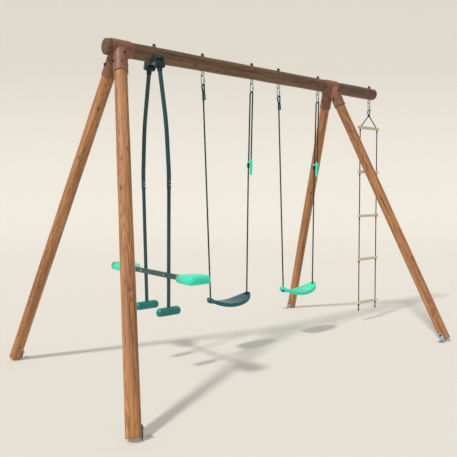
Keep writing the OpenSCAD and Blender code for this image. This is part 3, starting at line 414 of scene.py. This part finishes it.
# %% [markdown]
# Every piece is then turned into an object in the same way: a mesh with smooth faces and sharp edges where the skin
# turns by more than a given angle, its finish, the body that it rides and the CAD nodes that it stands for.

# %% Objects
def make(name, mesh_data, body, slot, place=None, replaces=(), angle=40):
    """A mesh object with its finish, riding its body and standing for CAD nodes."""
    points, faces = mesh_data
    mesh = bpy.data.meshes.new(name)
    mesh.from_pydata([tuple(float(c) for c in p) for p in points], [], [tuple(int(i) for i in f) for f in faces])
    mesh.update()
    mesh.polygons.foreach_set("use_smooth", [True] * len(mesh.polygons))
    mesh.set_sharp_from_angle(angle=math.radians(angle))
    mesh.materials.append(finishes[slot])
    made = bpy.data.objects.new(name, mesh)
    bpy.context.scene.collection.objects.link(made)
    if place is not None:
        made.matrix_world = place
    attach(made, body)
    if replaces:
        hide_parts(*replaces)
    return made


print("finishes to choose from:", ", ".join(finishes))

# %% [markdown]
# ## The logs
# The legs and the beam are machine-turned poles: true to a millimetre or so, with their ends chamfered against
# splitting. The skin wanders by half a millimetre, and the finish, whose pattern is solid, does the rest.
# Each log is made upright along its own Z, so that the pattern runs along it, and is then put in place.

# %% Make the beam and the legs
MM = 0.001
BEAM_Z, BEAM_R, LEG_R = 2.100, 0.050, 0.040
RAKE, SPLAY = math.tan(math.radians(11.3)), math.tan(math.radians(22.1))  # along the beam and across it
leg_up = Vector((RAKE, SPLAY, 1)).normalized()
leg_foot = Vector((-1.42166, -0.86269, 0.01484))
leg_length = (BEAM_Z - 0.080 - leg_foot.z) / leg_up.z


def log(length, radius, chamfer, seed):
    """A turned pole along Z with a slightly wandering skin: each wave has a frequency, lobes, phase and height."""
    rng = random.Random(seed)
    waves = [(rng.uniform(2, 14), rng.randint(1, 4), rng.uniform(0, 6.3), rng.uniform(0.1, 0.3)) for _ in range(9)]
    angles = np.linspace(0, 2 * math.pi, 72, endpoint=False)
    heights = np.concatenate([[0, chamfer * 0.55, chamfer], np.arange(0.02, length - 0.02, 0.012),
                              [length - chamfer, length - chamfer * 0.55, length]])
    rings = [np.stack([0.4 * radius * np.cos(angles), 0.4 * radius * np.sin(angles), 0 * angles], axis=1)]
    for z in heights:
        edge = min(z, length - z)
        base = radius - max(0.0, chamfer - edge) * 0.95 - (0.0004 if edge < chamfer * 1.2 else 0)
        skin = sum(a * MM * np.sin(f * z + k * angles + p) for f, k, p, a in waves)
        skin = skin * min(1.0, edge / 0.03)
        r = base + skin
        rings.append(np.stack([r * np.cos(angles), r * np.sin(angles), z + 0 * angles], axis=1))
    rings.append(np.stack([0.4 * radius * np.cos(angles), 0.4 * radius * np.sin(angles), length + 0 * angles], axis=1))
    return rings_to_mesh(rings)


def stand(foot, along):
    """The place of something made along Z whose base is at foot."""
    return Matrix.Translation(foot) @ along.to_track_quat("Z", "Y").to_matrix().to_4x4()


for back in (0, 1):
    for right in (0, 1):
        flip = Vector((-1 if right else 1, -1 if back else 1, 1))
        foot, along = leg_foot * flip + Vector((SHIFT, 0, 0)), leg_up * flip
        label = ("back" if back else "front") + "_" + ("right" if right else "left")
        data = log(leg_length, LEG_R, 4 * MM, 11 + 2 * back + right)
        turn = Matrix.Rotation(1.3 * (1 + back) + 2.1 * right, 4, "Z")
        make("pine_leg_" + label, data, "frame", "leg_wood", stand(foot, along) @ turn, ["leg_" + label], 50)
low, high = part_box("beam")
make("pine_beam", log(high.x - low.x, BEAM_R, 4 * MM, 5), "frame", "beam_wood",
     stand(Vector((low.x, 0, BEAM_Z)), Vector((1, 0, 0))), ["beam"], 50)
print("leg length", round(leg_length, 3), "beam length", round(high.x - low.x, 3))

# %% [markdown]
# ## The corner connectors
# Each connector is one moulding: a sleeve round the beam with two sockets that grip the legs. Such a shape is
# easiest as rough solids that overlap, melted together by a remesh and smoothed, which leaves the soft fillets
# that a mould has. Collars thicken the mouths, and a boss through the middle carries the cross bolt.

# %% Make the connectors
def turned(profile, sides=64):
    """A solid of revolution about Z from (radius, height) pairs."""
    angles = np.linspace(0, 2 * math.pi, sides, endpoint=False)
    return rings_to_mesh([np.stack([r * np.cos(angles), r * np.sin(angles), z + 0 * angles], axis=1)
                          for r, z in profile])


def placed(mesh_data, matrix):
    """Points and faces moved to where the matrix says."""
    points, faces = mesh_data
    return [matrix @ Vector(p) for p in points], faces


def melt(name, parts, voxel, smooth):
    """Overlapping solids as one skin with soft inner corners."""
    points, faces = join(*parts)
    mesh = bpy.data.meshes.new(name)
    mesh.from_pydata([tuple(p) for p in points], [], faces)
    mesh.update()
    lump = bpy.data.objects.new(name, mesh)
    bpy.context.scene.collection.objects.link(lump)
    remesh = lump.modifiers.new("melt", "REMESH")
    remesh.mode = "VOXEL"
    remesh.voxel_size = voxel
    soft = lump.modifiers.new("soft", "SMOOTH")
    soft.iterations = smooth
    soft.factor = 0.5
    graph = bpy.context.evaluated_depsgraph_get()
    result = bpy.data.meshes.new_from_object(lump.evaluated_get(graph))
    bpy.data.objects.remove(lump)
    out = [tuple(v.co) for v in result.vertices], [tuple(p.vertices) for p in result.polygons]
    bpy.data.meshes.remove(result)
    return out


FRAME_X = -1.005 + SHIFT  # where the left pair of legs meets the beam
WALL = 6 * MM
COLLAR = 1.2 * MM
SLEEVE_OUT, SLEEVE_LEN = 0.060, 0.146
SOCKET_MOUTH, SOCKET_DOME = 0.168, 0.038  # below the beam's middle
BOSS_R, BOSS_HALF = 12 * MM, 0.085


def connector_parts():
    """The left connector as solids that overlap: a sleeve, two leg sockets and a boss."""
    r, socket = BEAM_R + WALL, LEG_R + WALL
    sleeve = turned([(r - 1 * MM, 0), (r + COLLAR, 1 * MM), (r + COLLAR, 8 * MM), (r, 10 * MM),
                     (r, SLEEVE_LEN - 24 * MM), (BEAM_R + 1.6 * MM, SLEEVE_LEN)])
    across = Matrix.Translation((FRAME_X - SLEEVE_OUT, 0, BEAM_Z)) @ Matrix.Rotation(math.pi / 2, 4, "Y")
    parts = [placed(sleeve, across)]
    for side in (1, -1):
        foot = Vector((leg_foot.x + SHIFT, leg_foot.y * side, leg_foot.z))
        along = Vector((leg_up.x, leg_up.y * side, leg_up.z))
        mouth = (BEAM_Z - SOCKET_MOUTH - leg_foot.z) / leg_up.z
        dome = (BEAM_Z - SOCKET_DOME - leg_foot.z) / leg_up.z
        profile = [(socket - 1 * MM, mouth), (socket + COLLAR, mouth + 1 * MM), (socket + COLLAR, mouth + 9 * MM),
                   (socket, mouth + 11 * MM)]
        profile += [(socket * math.cos(a), dome + socket * math.sin(a)) for a in np.linspace(0, 1.5, 10)]
        parts.append(placed(turned(profile), stand(foot, along)))
    boss = turned([(BOSS_R - 0.5 * MM, -BOSS_HALF - 0.5 * MM), (BOSS_R, -BOSS_HALF),
                   (BOSS_R, BOSS_HALF), (BOSS_R - 0.5 * MM, BOSS_HALF + 0.5 * MM)], 32)
    spot = Matrix.Translation((FRAME_X - 0.006, 0, BEAM_Z - 0.037))
    parts.append(placed(boss, spot @ Matrix.Rotation(math.pi / 2, 4, "X")))
    return parts


left_skin = melt("connector", connector_parts(), 2.2 * MM, 5)
right_skin = [(2 * SHIFT - x, y, z) for x, y, z in left_skin[0]], [tuple(reversed(f)) for f in left_skin[1]]
make("moulded_connector_left", left_skin, "frame", "connector_plastic", None, ["connector_left"], 60)
make("moulded_connector_right", right_skin, "frame", "connector_plastic", None, ["connector_right"], 60)
print("connector skin", len(left_skin[1]), "faces")

# %% [markdown]
# ## The swing ropes
# A swing hangs from screw links in the eyes. The left rope turns over its link and is clamped into an eye; the
# right one turns over its link as a doubled strand, and a sliding adjuster sets its length. The ropes lean
# inwards, so each is laid out in its own leaning frame: y across the seat's travel, z down the rope.

# %% Make the swing ropes
PIVOT_Z = 2.0218  # where the links bear in the eye bolts
ROPE_D = 12 * MM
LEAN = math.radians(2.022089)
ROPE_LEN = 1.615427  # from the pivot to the knot under the seat
GAP = 0.461  # between a swing's two eye bolts
swing_at = {"swing_a": -0.353 + SHIFT, "swing_b": 0.388 + SHIFT}
OVER, CLAMP_TOP, CLAMP_LOW = -0.0632, -0.133, -0.173  # down the rope: the link, then the ends of the clamp
ADJ_TOP = -(PIVOT_Z - 1.449) / math.cos(LEAN)
ADJ_LOW = ADJ_TOP - 0.116


def hang(x, lean):
    """The leaning frame of a rope: its origin is the pivot in the eye."""
    return Matrix.Translation((x, 0, PIVOT_Z)) @ Matrix.Rotation(lean, 4, "Y")


def yz(path):
    """A flat path in y and z as points in space."""
    return np.stack([0 * path[:, 0], path[:, 0], path[:, 1]], axis=1)


left_path = rounded_path([(-0.0126, CLAMP_LOW - 0.001), (-0.0126, CLAMP_TOP), (-0.0155, OVER), (0.0155, OVER),
                          (0, CLAMP_TOP), (0, -ROPE_LEN)], [0.05, 0.012, 0.012, 0.05])
right_path = rounded_path([(-0.014, ADJ_LOW + 0.020), (-0.014, OVER), (0.014, OVER), (0.014, ADJ_LOW - 0.03),
                           (0, -ROPE_LEN)], [0.0139, 0.0139, 0.4])


def coil(middle, inner, cord, turns, pitch):
    """A barrel knot: cord wound round a rope."""
    t = np.linspace(0, 1, int(26 * turns))
    a = 2 * math.pi * turns * t
    r = inner + cord / 2
    line = np.stack([r * np.cos(a), r * np.sin(a), (t - 0.5) * turns * pitch], axis=1) + np.array(middle)
    return tube(line, cord / 2, 9)


for swing, x in swing_at.items():
    end = (0, 0, -ROPE_LEN)
    under = knot(end, 27 * MM, 8.5 * MM, 0.4)
    make(swing + "_laid_rope_left", join(laid_rope(yz(left_path), ROPE_D), under), swing, "green_rope",
         hang(x, -LEAN), [swing + "_rope_left"], 60)
    make(swing + "_laid_rope_right", join(laid_rope(yz(right_path), ROPE_D), under), swing, "green_rope",
         hang(x + GAP, LEAN), [swing + "_rope_right"], 60)
    top = ADJ_TOP - 0.0243
    barrel = coil((0, 0.014, top - 0.019), 5.2 * MM, 6.6 * MM, 5, 6.7 * MM)
    make(swing + "_barrel_knot", barrel, swing + "_adjuster", "black_rope", hang(x + GAP, LEAN),
         [swing + "_adjuster_knot"], 60)
print("swing rope length from eye to knot", round(ROPE_LEN, 3))

# %% [markdown]
# ## The swing seats
# A belt-style seat moulded in one piece: a thin curved pan with turned-down skirts that stiffen it, open
# below. The plan is a full oval, and three low ribs run across near each end. The skin is a stack of rings from
# the middle of the pan, over the edge, down the skirt, under its lip and back to the middle, and slots with raised
# rims are made for the ropes.

# %% Make the swing seats
ARC_Z, ARC_R = 0.788, 0.400  # the pan is bent round a line this high
SEAT_L, SEAT_D = 0.197, 0.0825  # half the length and half the depth
SKIRT = 0.0275
RIBS = (0.142, 0.132, 0.122)
SLOT_X, SLOT_HALF, SLOT_R = 0.1741, 0.0134, 7.6 * MM


def seat_mesh():
    """The closed skin of one swing seat, about the middle between its ropes."""
    def half_depth(x):
        return SEAT_D * np.sqrt(np.clip(1 - (np.abs(x) / SEAT_L) ** 2.35, 0, 1))

    along = -SEAT_L * np.cos(np.linspace(0, math.pi, 160))
    edge = np.stack([along, -half_depth(along)], axis=1)
    outline = even(np.vstack([edge, -edge[1:]]), 0.004)[:-1]
    ahead = np.roll(outline, -1, axis=0) - np.roll(outline, 1, axis=0)
    out = np.stack([ahead[:, 1], -ahead[:, 0]], axis=1)
    out /= np.linalg.norm(out, axis=1)[:, None]

    def top(x):
        return ARC_Z - np.sqrt(ARC_R ** 2 - x ** 2)

    def ring(inset, drop, share=1.0, detail=False):
        p = (outline - out * inset) * share
        z = top(p[:, 0]) - drop
        if detail:
            across = np.clip(1 - (p[:, 1] / (np.maximum(half_depth(p[:, 0]) - 0.012, 0.012))) ** 8, 0, 1)
            for at in RIBS:
                z += 1.4 * MM * np.exp(-((np.abs(p[:, 0]) - at) / 0.0022) ** 2) * across
            z -= 2.2 * MM * np.clip(1 - (np.abs(p[:, 0]) / 0.112) ** 6, 0, 1) * across
        return np.stack([p[:, 0], p[:, 1], z], axis=1)

    ends = np.clip((np.abs(outline[:, 0]) - 0.150) / 0.050, 0, 1)
    steep = 1 / np.sqrt(1 - (outline[:, 0] / ARC_R) ** 2)
    skirt = SKIRT * steep * (1 - 0.35 * ends * ends)
    rings = [ring(0.008, 0, s, True) for s in np.concatenate([[0.002], np.linspace(0.02, 1, 74)])]
    rings += [ring(0.005, 0.1 * MM), ring(0.0022, 0.7 * MM), ring(0.0006, 2.2 * MM), ring(0, 4.5 * MM)]
    rings += [ring(0, 4.5 * MM + (skirt - 6 * MM) * s) for s in (0.35, 0.7, 1.0)]
    rings += [ring(0.0008, skirt - 0.4 * MM), ring(0.0022, skirt), ring(0.0036, skirt - 0.4 * MM),
              ring(0.0045, skirt - 2 * MM), ring(0.0050, skirt * 0.6), ring(0.0050, 9 * MM), ring(0.008, 5.5 * MM)]
    rings += [ring(0.010, 5 * MM, s) for s in np.concatenate([np.linspace(1, 0.03, 24), [0.002]])]
    return rings_to_mesh(rings)


def cut_out(target, cutter_data):
    """Takes a solid away from an object's mesh for good."""
    mesh = bpy.data.meshes.new("cutter")
    mesh.from_pydata([tuple(p) for p in cutter_data[0]], [], cutter_data[1])
    cutter = bpy.data.objects.new("cutter", mesh)
    bpy.context.scene.collection.objects.link(cutter)
    cutter.matrix_world = target.matrix_world
    change = target.modifiers.new("cut", "BOOLEAN")
    change.object = cutter
    change.operation = "DIFFERENCE"
    change.solver = "EXACT"
    graph = bpy.context.evaluated_depsgraph_get()
    result = bpy.data.meshes.new_from_object(target.evaluated_get(graph))
    target.modifiers.clear()
    target.data = result
    bpy.data.objects.remove(cutter)
    bpy.data.meshes.remove(mesh)


def slot_outline(half, r, count=14):
    """A long hole's outline: two half circles this far from the middle."""
    a = np.linspace(0, math.pi, count)
    upper = np.stack([r * np.cos(a), half + r * np.sin(a)], axis=1)
    return np.vstack([upper, -upper])


def prism(outline, low, high, x):
    """An outline as an upright solid between two heights."""
    rings = [np.stack([outline[:, 0] + x, outline[:, 1], z + 0 * outline[:, 0]], axis=1) for z in (low, high)]
    return rings_to_mesh(rings)


for swing, slot in (("swing_a", "teal_plastic"), ("swing_b", "mint_plastic")):
    seat = make(swing + "_moulded_seat", seat_mesh(), swing + "_seat", slot,
                Matrix.Translation((swing_at[swing] + GAP / 2, 0, 0)), [swing + "_seat"], 42)
    hole = slot_outline(SLOT_HALF, SLOT_R)
    cut_out(seat, join(prism(hole, 0.36, 0.50, SLOT_X), prism(hole, 0.36, 0.50, -SLOT_X)))
    rims = []
    for sx in (-1, 1):
        flat = slot_outline(SLOT_HALF, SLOT_R + 2.8 * MM, 20)
        x = sx * SLOT_X + flat[:, 0]
        z = ARC_Z - np.sqrt(ARC_R ** 2 - x ** 2) + 1.6 * MM
        line = np.stack([x, flat[:, 1], z], axis=1)
        rims.append(tube(np.vstack([line, line[:2]]), 3.0 * MM, 10))
    make(swing + "_slot_rims", join(*rims), swing + "_seat", slot, seat.matrix_world.copy(), (), 60)
print("seat shell", len(seat.data.polygons), "faces")

# %% [markdown]
# ## The glider's arms
# Each arm is a steel tube that leaves its hub leaning outwards, bends twice and receives a thinner lower tube.
# The tubes are swept along the real bent line; the plated bolts, the hub and the bracket are already in the frame.

# %% Make the glider's arms
GLIDER_X = -0.747 + SHIFT
PIVOT, BEND = np.array([0.060, 2.030]), np.array([0.137, 1.64094])
JOINT, BAR = np.array([0.159, 1.236]), np.array([0.144, 0.665])
FOOT_BAR_Z = 0.420
UPPER_R, LOWER_R = 14 * MM, 12 * MM


def toward(a, b, run):
    """The point this far from a on the way to b."""
    return a + (b - a) / np.linalg.norm(b - a) * run


pedal = BAR + (BAR - JOINT) * (BAR[1] - FOOT_BAR_Z) / (JOINT[1] - BAR[1])
upper_line = rounded_path([toward(PIVOT, BEND, 0.0155), BEND, toward(JOINT, BAR, -0.080), toward(JOINT, BAR, 0.014)],
                          [1.5, 0.9], 0.006)
lower_line = np.array([toward(JOINT, BAR, -0.02), toward(pedal, BAR, 0.004)])
for name, side in (("front", -1), ("back", 1)):
    body = "glider_" + name + "_arm"
    place = Matrix.Translation((GLIDER_X, 0, 0))
    upper = tube(yz(upper_line * (side, 1)), UPPER_R, 28)
    lip_line = np.array([toward(JOINT, BAR, r) * (side, 1) for r in (0.006, 0.0142)])
    lip = tube(yz(lip_line), UPPER_R + 0.4 * MM, 28)
    make("glider_" + name + "_bent_tube", join(upper, lip), body, "teal_steel", place,
         ["glider_" + name + "_upper_arm"], 40)
    lower = tube(yz(lower_line * (side, 1)), LOWER_R, 28)
    make("glider_" + name + "_lower_tube", lower, body, "teal_steel", place, ["glider_" + name + "_lower_arm"], 40)
print("upper tube length", round(float(np.sum(np.linalg.norm(np.diff(upper_line, axis=0), axis=1))), 3))

# %% [markdown]
# ## The glider's seats
# The seats are blow-moulded: hollow, thick, with a softly domed top and a drawn-in underside. The plan is wide
# behind the rider and comes to a narrow rounded nose where the legs straddle the bar, and the top falls towards
# that nose. A ring of the outline is moved inwards and up step by step, which gives the rounded edge, and a shallow
# channel follows the edge as a moulded line.

# %% Make the glider's seats
PAD_IN, PAD_OUT = 0.256, 0.507  # from the bar's middle
PAD_Z, PAD_H = 0.645, 58 * MM
PAD_ASIDE, BAR_AHEAD = 0.0238, 0.031
EDGE = [(21, 65.5), (19, 64.6), (17.5, 65), (14, 65), (9.5, 62.5), (5.5, 58), (2.5, 52), (0.8, 45), (0, 37),
        (0, 30), (1.6, 29), (1.6, 27.5), (0.3, 26), (1.2, 20), (4.5, 11), (10, 4), (17, 1), (22, 0.2)]


def pad_mesh(side):
    """One glider seat; heights are in seventieths of its height and insets in millimetres."""
    corners = [(-0.018, PAD_IN), (0.018, PAD_IN), (0.0785, 0.346),
               (0.080, PAD_OUT), (-0.080, PAD_OUT), (-0.0785, 0.346)]
    outline = rounded_path(corners, [0.030, 0.030, 0.060, 0.026, 0.026, 0.060], 0.004, closed=True)
    outline = even(np.vstack([outline, outline[:1]]), 0.005)[:-1]
    ahead = np.roll(outline, -1, axis=0) - np.roll(outline, 1, axis=0)
    out = np.stack([ahead[:, 1], -ahead[:, 0]], axis=1)
    out /= np.linalg.norm(out, axis=1)[:, None]
    middle = np.array([0, 0.40])

    def ring(inset, height, share=1.0):
        p = middle + (outline - out * inset - middle) * share
        fall = 0.015 * np.clip((0.450 - p[:, 1]) / 0.180, 0, 1.1) ** 1.4 * min(1, max(0, (height - 20) / 30))
        return np.stack([p[:, 0], p[:, 1] * side, PAD_Z + height / 70 * PAD_H - fall], axis=1)

    top = [ring(0.024, 70 - 3.4 * s ** 2.4, s) for s in np.concatenate([[0.003], np.linspace(0.05, 1, 16)])]
    edge = [ring(inset * MM, height) for inset, height in EDGE]
    under = [ring(0.022, 0.2 + 2 * (1 - s ** 3), s) for s in np.concatenate([np.linspace(0.97, 0.05, 8), [0.003]])]
    points, faces = rings_to_mesh(top + edge + under)
    return points, (faces if side < 0 else [tuple(reversed(f)) for f in faces])


for name, side in (("front", -1), ("back", 1)):
    make("glider_" + name + "_moulded_seat", pad_mesh(side), "glider_seats", "mint_plastic",
         Matrix.Translation((GLIDER_X - PAD_ASIDE, -BAR_AHEAD, 0)), ["glider_" + name + "_seat"], 45)
print("glider seats from", PAD_IN, "to", PAD_OUT, "m off the bar's middle")

# %% [markdown]
# ## The rope ladder
# Black cord runs through a hole near each end of five moulded rungs and is knotted below every rung. The
# bridle is one cord: over the link, knotted, and down to both ends of the top rung. The rungs are turned shapes:
# ribbed for grip between the holes, with a smooth band at each hole and rounded ends.

# %% Make the ladder
LADDER_X = 1.550 + SHIFT
CORD = 10 * MM
RUNG_STEP = 0.402
RUNG_Z = [1.788 - RUNG_STEP * i for i in range(5)]
HOLE_X = 0.125
KNOT_Z = 1.905  # the bridle's knot


def cord(line):
    """A length of the ladder's laid cord."""
    return laid_rope(line, CORD, pitch=3.2, step=0.0024)


def rung_mesh():
    """One rung along Z: its profile from the end to the middle, mirrored and turned."""
    half, r = 0.148, 0.013
    profile = [(r * 0.35, -half), (r * 0.75, -half + 0.4 * MM), (r * 0.95, -half + 1.8 * MM), (r, -half + 4.5 * MM)]
    profile += [(r, -0.138), (r - 0.6 * MM, -0.137), (r - 0.6 * MM, -0.112), (r - 0.1 * MM, -0.111)]
    for z in np.arange(-0.105, 0.001, 0.0105):
        profile += [(r, z), (r, z + 8 * MM), (r - 0.5 * MM, z + 8.6 * MM), (r - 0.5 * MM, z + 9.9 * MM)]
    profile = [p for p in profile if p[1] < -0.0001]
    mirror = [(a, -b) for a, b in reversed(profile)]
    return turned(profile + mirror, 40)


across = Matrix.Rotation(math.pi / 2, 4, "Y")
for i, z in enumerate(RUNG_Z, 1):
    body = "ladder_%d" % i
    make("ladder_moulded_rung_%d" % i, rung_mesh(), body, "cream_plastic",
         Matrix.Translation((LADDER_X, 0, z)) @ across, ["ladder_rung_%d" % i], 40)
    low = -0.070 if i == 5 else -RUNG_STEP + 0.0134
    parts = []
    for sx in (-HOLE_X, HOLE_X):
        line = np.array([(sx, 0, 0.0122), (sx, 0, low)])
        parts += [cord(line), knot((sx, 0, -0.0232), 22 * MM, 7.5 * MM, 0.5 + sx)]
        if i == 5:
            parts.append(knot((sx, 0, low), 18 * MM, 6.5 * MM, 1.5))
    make("ladder_laid_rope_%d" % i, join(*parts), body, "black_rope", Matrix.Translation((LADDER_X, 0, z)),
         ["ladder_rope_%d" % i], 60)
link_wire = 3.5 * MM
loop_top = PIVOT_Z - 0.073 + link_wire + 0.3 * MM + CORD / 2
loop = rounded_path([(0.004, KNOT_Z), (0.011, 1.925), (0.011, loop_top), (-0.011, loop_top), (-0.011, 1.925),
                     (-0.004, KNOT_Z)], [0.02, 0.0109, 0.0109, 0.02])
drop = np.array([HOLE_X, RUNG_Z[0] - KNOT_Z])
reach = 1 - 0.0135 / np.linalg.norm(drop)
bridle = [cord(yz(loop)), knot((0, 0, KNOT_Z), 30 * MM, 9 * MM, 0.2)]
for sx in (-1, 1):
    bridle.append(cord(np.array([(0, 0, KNOT_Z), (sx * drop[0] * reach, 0, KNOT_Z + drop[1] * reach)])))
make("ladder_laid_bridle", join(*bridle), "ladder_bridle", "black_rope", Matrix.Translation((LADDER_X, 0, 0)),
     ["ladder_bridle"], 60)
print("ladder rungs at", [round(z, 3) for z in RUNG_Z])

# %% [markdown]
# ## The studio
# The set stands on a plain pale sweep that curves up far behind it, too matt to mirror the sky and lifted a little
# by its own light. A wide sun from the left and slightly from the front makes soft shadows that run to the right,
# and an even sky fills the rest.

# %% Lay the floor and light it
FLAT_BACK, BEND_R, HALF_WIDTH = 9, 6, 26


def sweep_floor():
    """Matt paper that is flat to behind the set and then bends up, square to the camera."""
    yaw = math.radians(CAMERA_YAW)
    ahead = Vector((-math.sin(yaw), math.cos(yaw), 0))
    side = Vector((math.cos(yaw), math.sin(yaw), 0))
    profile = [(-14, 0), (FLAT_BACK, 0)]
    profile += [(FLAT_BACK + BEND_R * math.sin(a), BEND_R - BEND_R * math.cos(a)) for a in np.linspace(0.05, 1.5, 24)]
    profile.append((15.2, 22))
    points = [ahead * d + side * w + Vector((0, 0, z)) for d, z in profile for w in (-HALF_WIDTH, HALF_WIDTH)]
    faces = [(2 * i, 2 * i + 1, 2 * i + 3, 2 * i + 2) for i in range(len(profile) - 1)]
    mesh = bpy.data.meshes.new("sweep")
    mesh.from_pydata([tuple(p) for p in points], [], faces)
    mesh.polygons.foreach_set("use_smooth", [True] * len(faces))
    material, output, place = new_material("matt paper, warm white")
    grain = add(material, "TexNoise", {"Vector": place, "Scale": 1.5, "Detail": 4.0})
    colour = add(material, "Mix", {0: grain.outputs[0], 6: linear("#cbc7be"), 7: linear("#cac6bd")},
                 data_type="RGBA").outputs[2]
    finish_up(material, output, colour, 0.95, grain.outputs[0], 0.05, Specular_IOR_Level=0.0,
              Emission_Color=linear("#e8e4d9"), Emission_Strength=0.24)
    mesh.materials.append(material)
    floor = bpy.data.objects.new("sweep", mesh)
    bpy.context.scene.collection.objects.link(floor)


sweep_floor()
sun = bpy.data.lights.new("key", "SUN")
sun.energy = 2.3
sun.angle = math.radians(6)
sun.color = (1.0, 0.99, 0.97)
key = bpy.data.objects.new("key", sun)
bpy.context.scene.collection.objects.link(key)
toward_sun = Vector((-0.80, -0.125, 1.0))
key.rotation_euler = toward_sun.to_track_quat("Z", "Y").to_euler()
world = bpy.data.worlds.new("sky")
bpy.context.scene.world = world
world.use_nodes = True
world.node_tree.nodes["Background"].inputs[0].default_value = linear("#f2f3f4")
world.node_tree.nodes["Background"].inputs[1].default_value = 0.46
bpy.context.scene.view_settings.view_transform = "Standard"
print("sun", round(math.degrees(math.asin(toward_sun.normalized().z))), "degrees above the floor")

# %% [markdown]
# ## The end

# %% Measure and finish
import json
